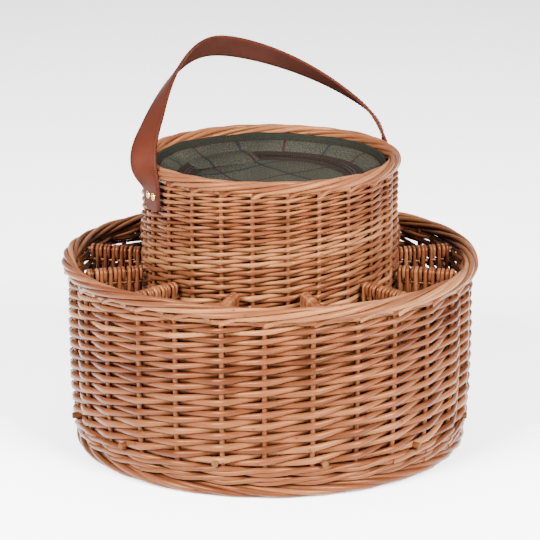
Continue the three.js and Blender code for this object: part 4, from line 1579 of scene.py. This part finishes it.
def lid_outline():
    """Half the lid's outline: the crowned top, the steep rim, and the flat underside."""
    reach = np.linspace(0, 1, 16)
    top = LID_EDGE_Z + (LID_CROWN_Z - LID_EDGE_Z) * np.sqrt(np.clip(1 - reach**2.6, 0, 1))
    rim = [(LID_RADIUS, 287.8), (LID_RADIUS - 0.1, 287.0)]
    rim += [(LID_RADIUS - 0.4, 286.4), (LID_RADIUS - 1.6, 286.1)]
    under = [(LID_RADIUS * share, LID_LOW) for share in (0.94, 0.8, 0.6, 0.4, 0.2, 0.0)]
    return list(zip(reach * LID_RADIUS, top)) + rim + under


def lid_freedom(radius):
    """How freely a point of the lid may move: fully in the middle, not at all at the zip."""
    return max(0.0, 1 - (radius / LID_RADIUS) ** 4)


def lid_sag(radius, angle, height):
    """The whole lid hangs lower beside the hinge, and stays level at its edge."""
    x = radius * math.cos(angle)
    y = radius * math.sin(angle)
    depth = LID_SAG * math.exp(-((x + 30) ** 2 / 1700 + (y - 28) ** 2 / 1500))
    return (0, 0, -lid_freedom(radius) * depth)


def lid_dents(radius, angle, height):
    """Shallow dents in the top only."""
    if height < LID_EDGE_Z:
        return (0, 0, 0)
    x = radius * math.cos(angle)
    y = radius * math.sin(angle)
    dip = math.exp(-((x - 30) ** 2 / 900 + (y + 20) ** 2 / 1500))
    swell = 0.5 * math.sin(0.075 * x + 0.06 * y + 1.0) + 0.4 * math.sin(0.11 * y - 0.05 * x)
    return (0, 0, lid_freedom(radius) * (swell - dip))


lid_pad = spin("tweed_lid", upright_outline(lid_outline()), 96, TWEED)
ease(lid_pad, lid_dents)
ease(lid_pad, lid_sag)
flat_map(lid_pad, 5, (-24.2, -50.4))
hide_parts("lid_panel")
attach(lid_pad, "lid")

foil_disc = [(LID_FOIL_RADIUS * step / 10, 285.7) for step in range(11)]
foil_disc += [(LID_FOIL_RADIUS * step / 10, 285.1) for step in range(10, -1, -1)]
lid_skin = spin("lid_foil_skin", upright_outline(foil_disc), 96, FOIL)
ease(lid_skin, lid_sag)
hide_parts("lid_foil")
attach(lid_skin, "lid")

# %% [markdown]
# ## The cloth hinge
# At the back a flap of tweed bridges the gap between the two ends of the zip, and the
# lid turns on it. It is a grid bent to the ring's curve, sloping like the zip and a
# little puffy, thickened, and blended in height between collar and lid.

# %% Hinge flap
FLAP_MIDDLE = -13.5
FLAP_HALF = 41.5
FLAP_FRONT = 66.0
FLAP_BACK_RADIUS = 99.6
FLAP_LOW = 289.6
FLAP_HIGH = 295.2
FLAP_PUFF = 2.4
FLAP_THICKNESS = 0.0013


def hinge_flap():
    """A grid laid from lid to collar, with its front corners cut back, and thickened."""
    bpy.ops.object.select_all(action="DESELECT")
    bpy.ops.mesh.primitive_grid_add(x_subdivisions=30, y_subdivisions=20, size=2)
    piece = bpy.context.object
    piece.name = "hinge_flap"
    for corner in piece.data.vertices:
        across = corner.co.x
        share = (corner.co.y + 1) / 2
        x = FLAP_MIDDLE + across * FLAP_HALF
        back = math.sqrt(FLAP_BACK_RADIUS**2 - x * x)
        front = FLAP_FRONT + 4 * max(0.0, abs(across) - 0.8) / 0.2
        y = front + (back - front) * share
        puff = FLAP_PUFF * math.sin(math.pi * share) * (1 - across**6)
        z = FLAP_LOW + (FLAP_HIGH - FLAP_LOW) * share + puff
        corner.co = (x * MM, y * MM, z * MM)
    piece.data.materials.append(TWEED)
    flat_map(piece, 0, (32, 44))
    thick = piece.modifiers.new("cloth", "SOLIDIFY")
    thick.thickness = FLAP_THICKNESS
    thick.offset = 0
    bpy.ops.object.modifier_apply(modifier=thick.name)
    smooth(piece, 50)
    return piece


flap = hinge_flap()
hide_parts("lid_hinge_tab")
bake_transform(flap)
print("hinge flap faces:", len(flap.data.polygons))

# %% [markdown]
# ## Sliders and pullers
# Two brass sliders meet at the front. A slider straddles both rows of teeth: a plate
# lies over them, a flange comes down on each side, and a small bridge on top holds the
# puller. The blocks are modelled level, and then laid on the slope of the zip.

# %% Zip sliders
BRASS_ROUND = 0.0004
POST_HALF_WIDTH = 0.0009
POST_HALF_DEPTH = 0.0011
BAR_THICKNESS = 0.0009
BAR_INSET = 0.0016
# Inner and outer radius, and lowest and highest place over the tape, in mm.
PLATE = (86.4, 96.6, 2.2, 4.0)
FLANGES = [(86.4, 87.2, 0.7, 3.0), (93.2, 96.6, 0.7, 3.0)]


def rounded_block(name, low, high, segments):
    """A cube set to a box given in metres, with all its edges rounded."""
    bpy.ops.object.select_all(action="DESELECT")
    middle = (Vector(low) + Vector(high)) / 2
    bpy.ops.mesh.primitive_cube_add(size=1, location=middle)
    block = bpy.context.object
    block.name = name
    block.scale = Vector(high) - Vector(low)
    bpy.ops.object.transform_apply(location=True, rotation=True, scale=True)
    bpy.ops.object.mode_set(mode="EDIT")
    bpy.ops.mesh.select_all(action="SELECT")
    bpy.ops.mesh.bevel(offset=BRASS_ROUND, segments=segments, affect="EDGES")
    bpy.ops.object.mode_set(mode="OBJECT")
    return block


def on_the_zip(name, low_x, high_x, inner, outer, low, high):
    """A rounded block at the front, between two radii and two heights over the tape."""
    low_corner = (low_x, -outer * MM, low * MM)
    high_corner = (high_x, -inner * MM, high * MM)
    block = rounded_block(name, low_corner, high_corner, 3)
    for corner in block.data.vertices:
        corner.co.z += zip_height(-corner.co.y / MM) * MM
    return block


def zip_slider(side_name):
    """Plate and flanges over the teeth, and a bridge of two posts and a bar on top."""
    low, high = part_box(f"zip_slider_{side_name}")
    body = on_the_zip(f"slider_{side_name}_brass", low.x, high.x, *PLATE)
    parts = [on_the_zip("flange", low.x, high.x, *flange) for flange in FLANGES]
    middle = (low + high) / 2
    for share in (0.25, 0.75):
        x = low.x + (high.x - low.x) * share
        foot = (x - POST_HALF_WIDTH, middle.y - POST_HALF_DEPTH, low.z + 0.0015)
        head = (x + POST_HALF_WIDTH, middle.y + POST_HALF_DEPTH, high.z - 0.0002)
        parts.append(rounded_block("post", foot, head, 2))
    bar_low = (low.x + BAR_INSET, middle.y - POST_HALF_DEPTH, high.z - BAR_THICKNESS)
    bar_high = (high.x - BAR_INSET, middle.y + POST_HALF_DEPTH, high.z)
    parts.append(rounded_block("bar", bar_low, bar_high, 2))
    take(body)
    for part in parts:
        part.select_set(True)
    bpy.ops.object.join()
    body.data.materials.append(BRASS)
    smooth(body, 40)
    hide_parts(f"zip_slider_{side_name}")
    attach(body, f"slider_{side_name}")
    print(body.name, "faces:", len(body.data.polygons))


def zip_puller(side_name):
    """A rounded tab with a shallow panel sunk into both faces."""
    low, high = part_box(f"zip_puller_{side_name}")
    tab = rounded_block(f"puller_{side_name}_brass", low, high, 2)
    take(tab)
    bpy.ops.object.mode_set(mode="EDIT")
    for way in (1, -1):
        bpy.ops.mesh.select_all(action="DESELECT")
        bpy.ops.object.mode_set(mode="OBJECT")
        for face in tab.data.polygons:
            face.select = face.normal.z * way > 0.99
        bpy.ops.object.mode_set(mode="EDIT")
        bpy.ops.mesh.select_mode(type="FACE")
        bpy.ops.mesh.inset(thickness=0.0006, depth=0.0)
        bpy.ops.mesh.inset(thickness=0.0002, depth=-0.0003)
    bpy.ops.object.mode_set(mode="OBJECT")
    tab.data.materials.append(BRASS)
    smooth(tab, 40)
    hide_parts(f"zip_puller_{side_name}")
    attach(tab, f"puller_{side_name}")
    print(tab.name, "faces:", len(tab.data.polygons))


for side_name in ("left", "right"):
    zip_slider(side_name)
    zip_puller(side_name)
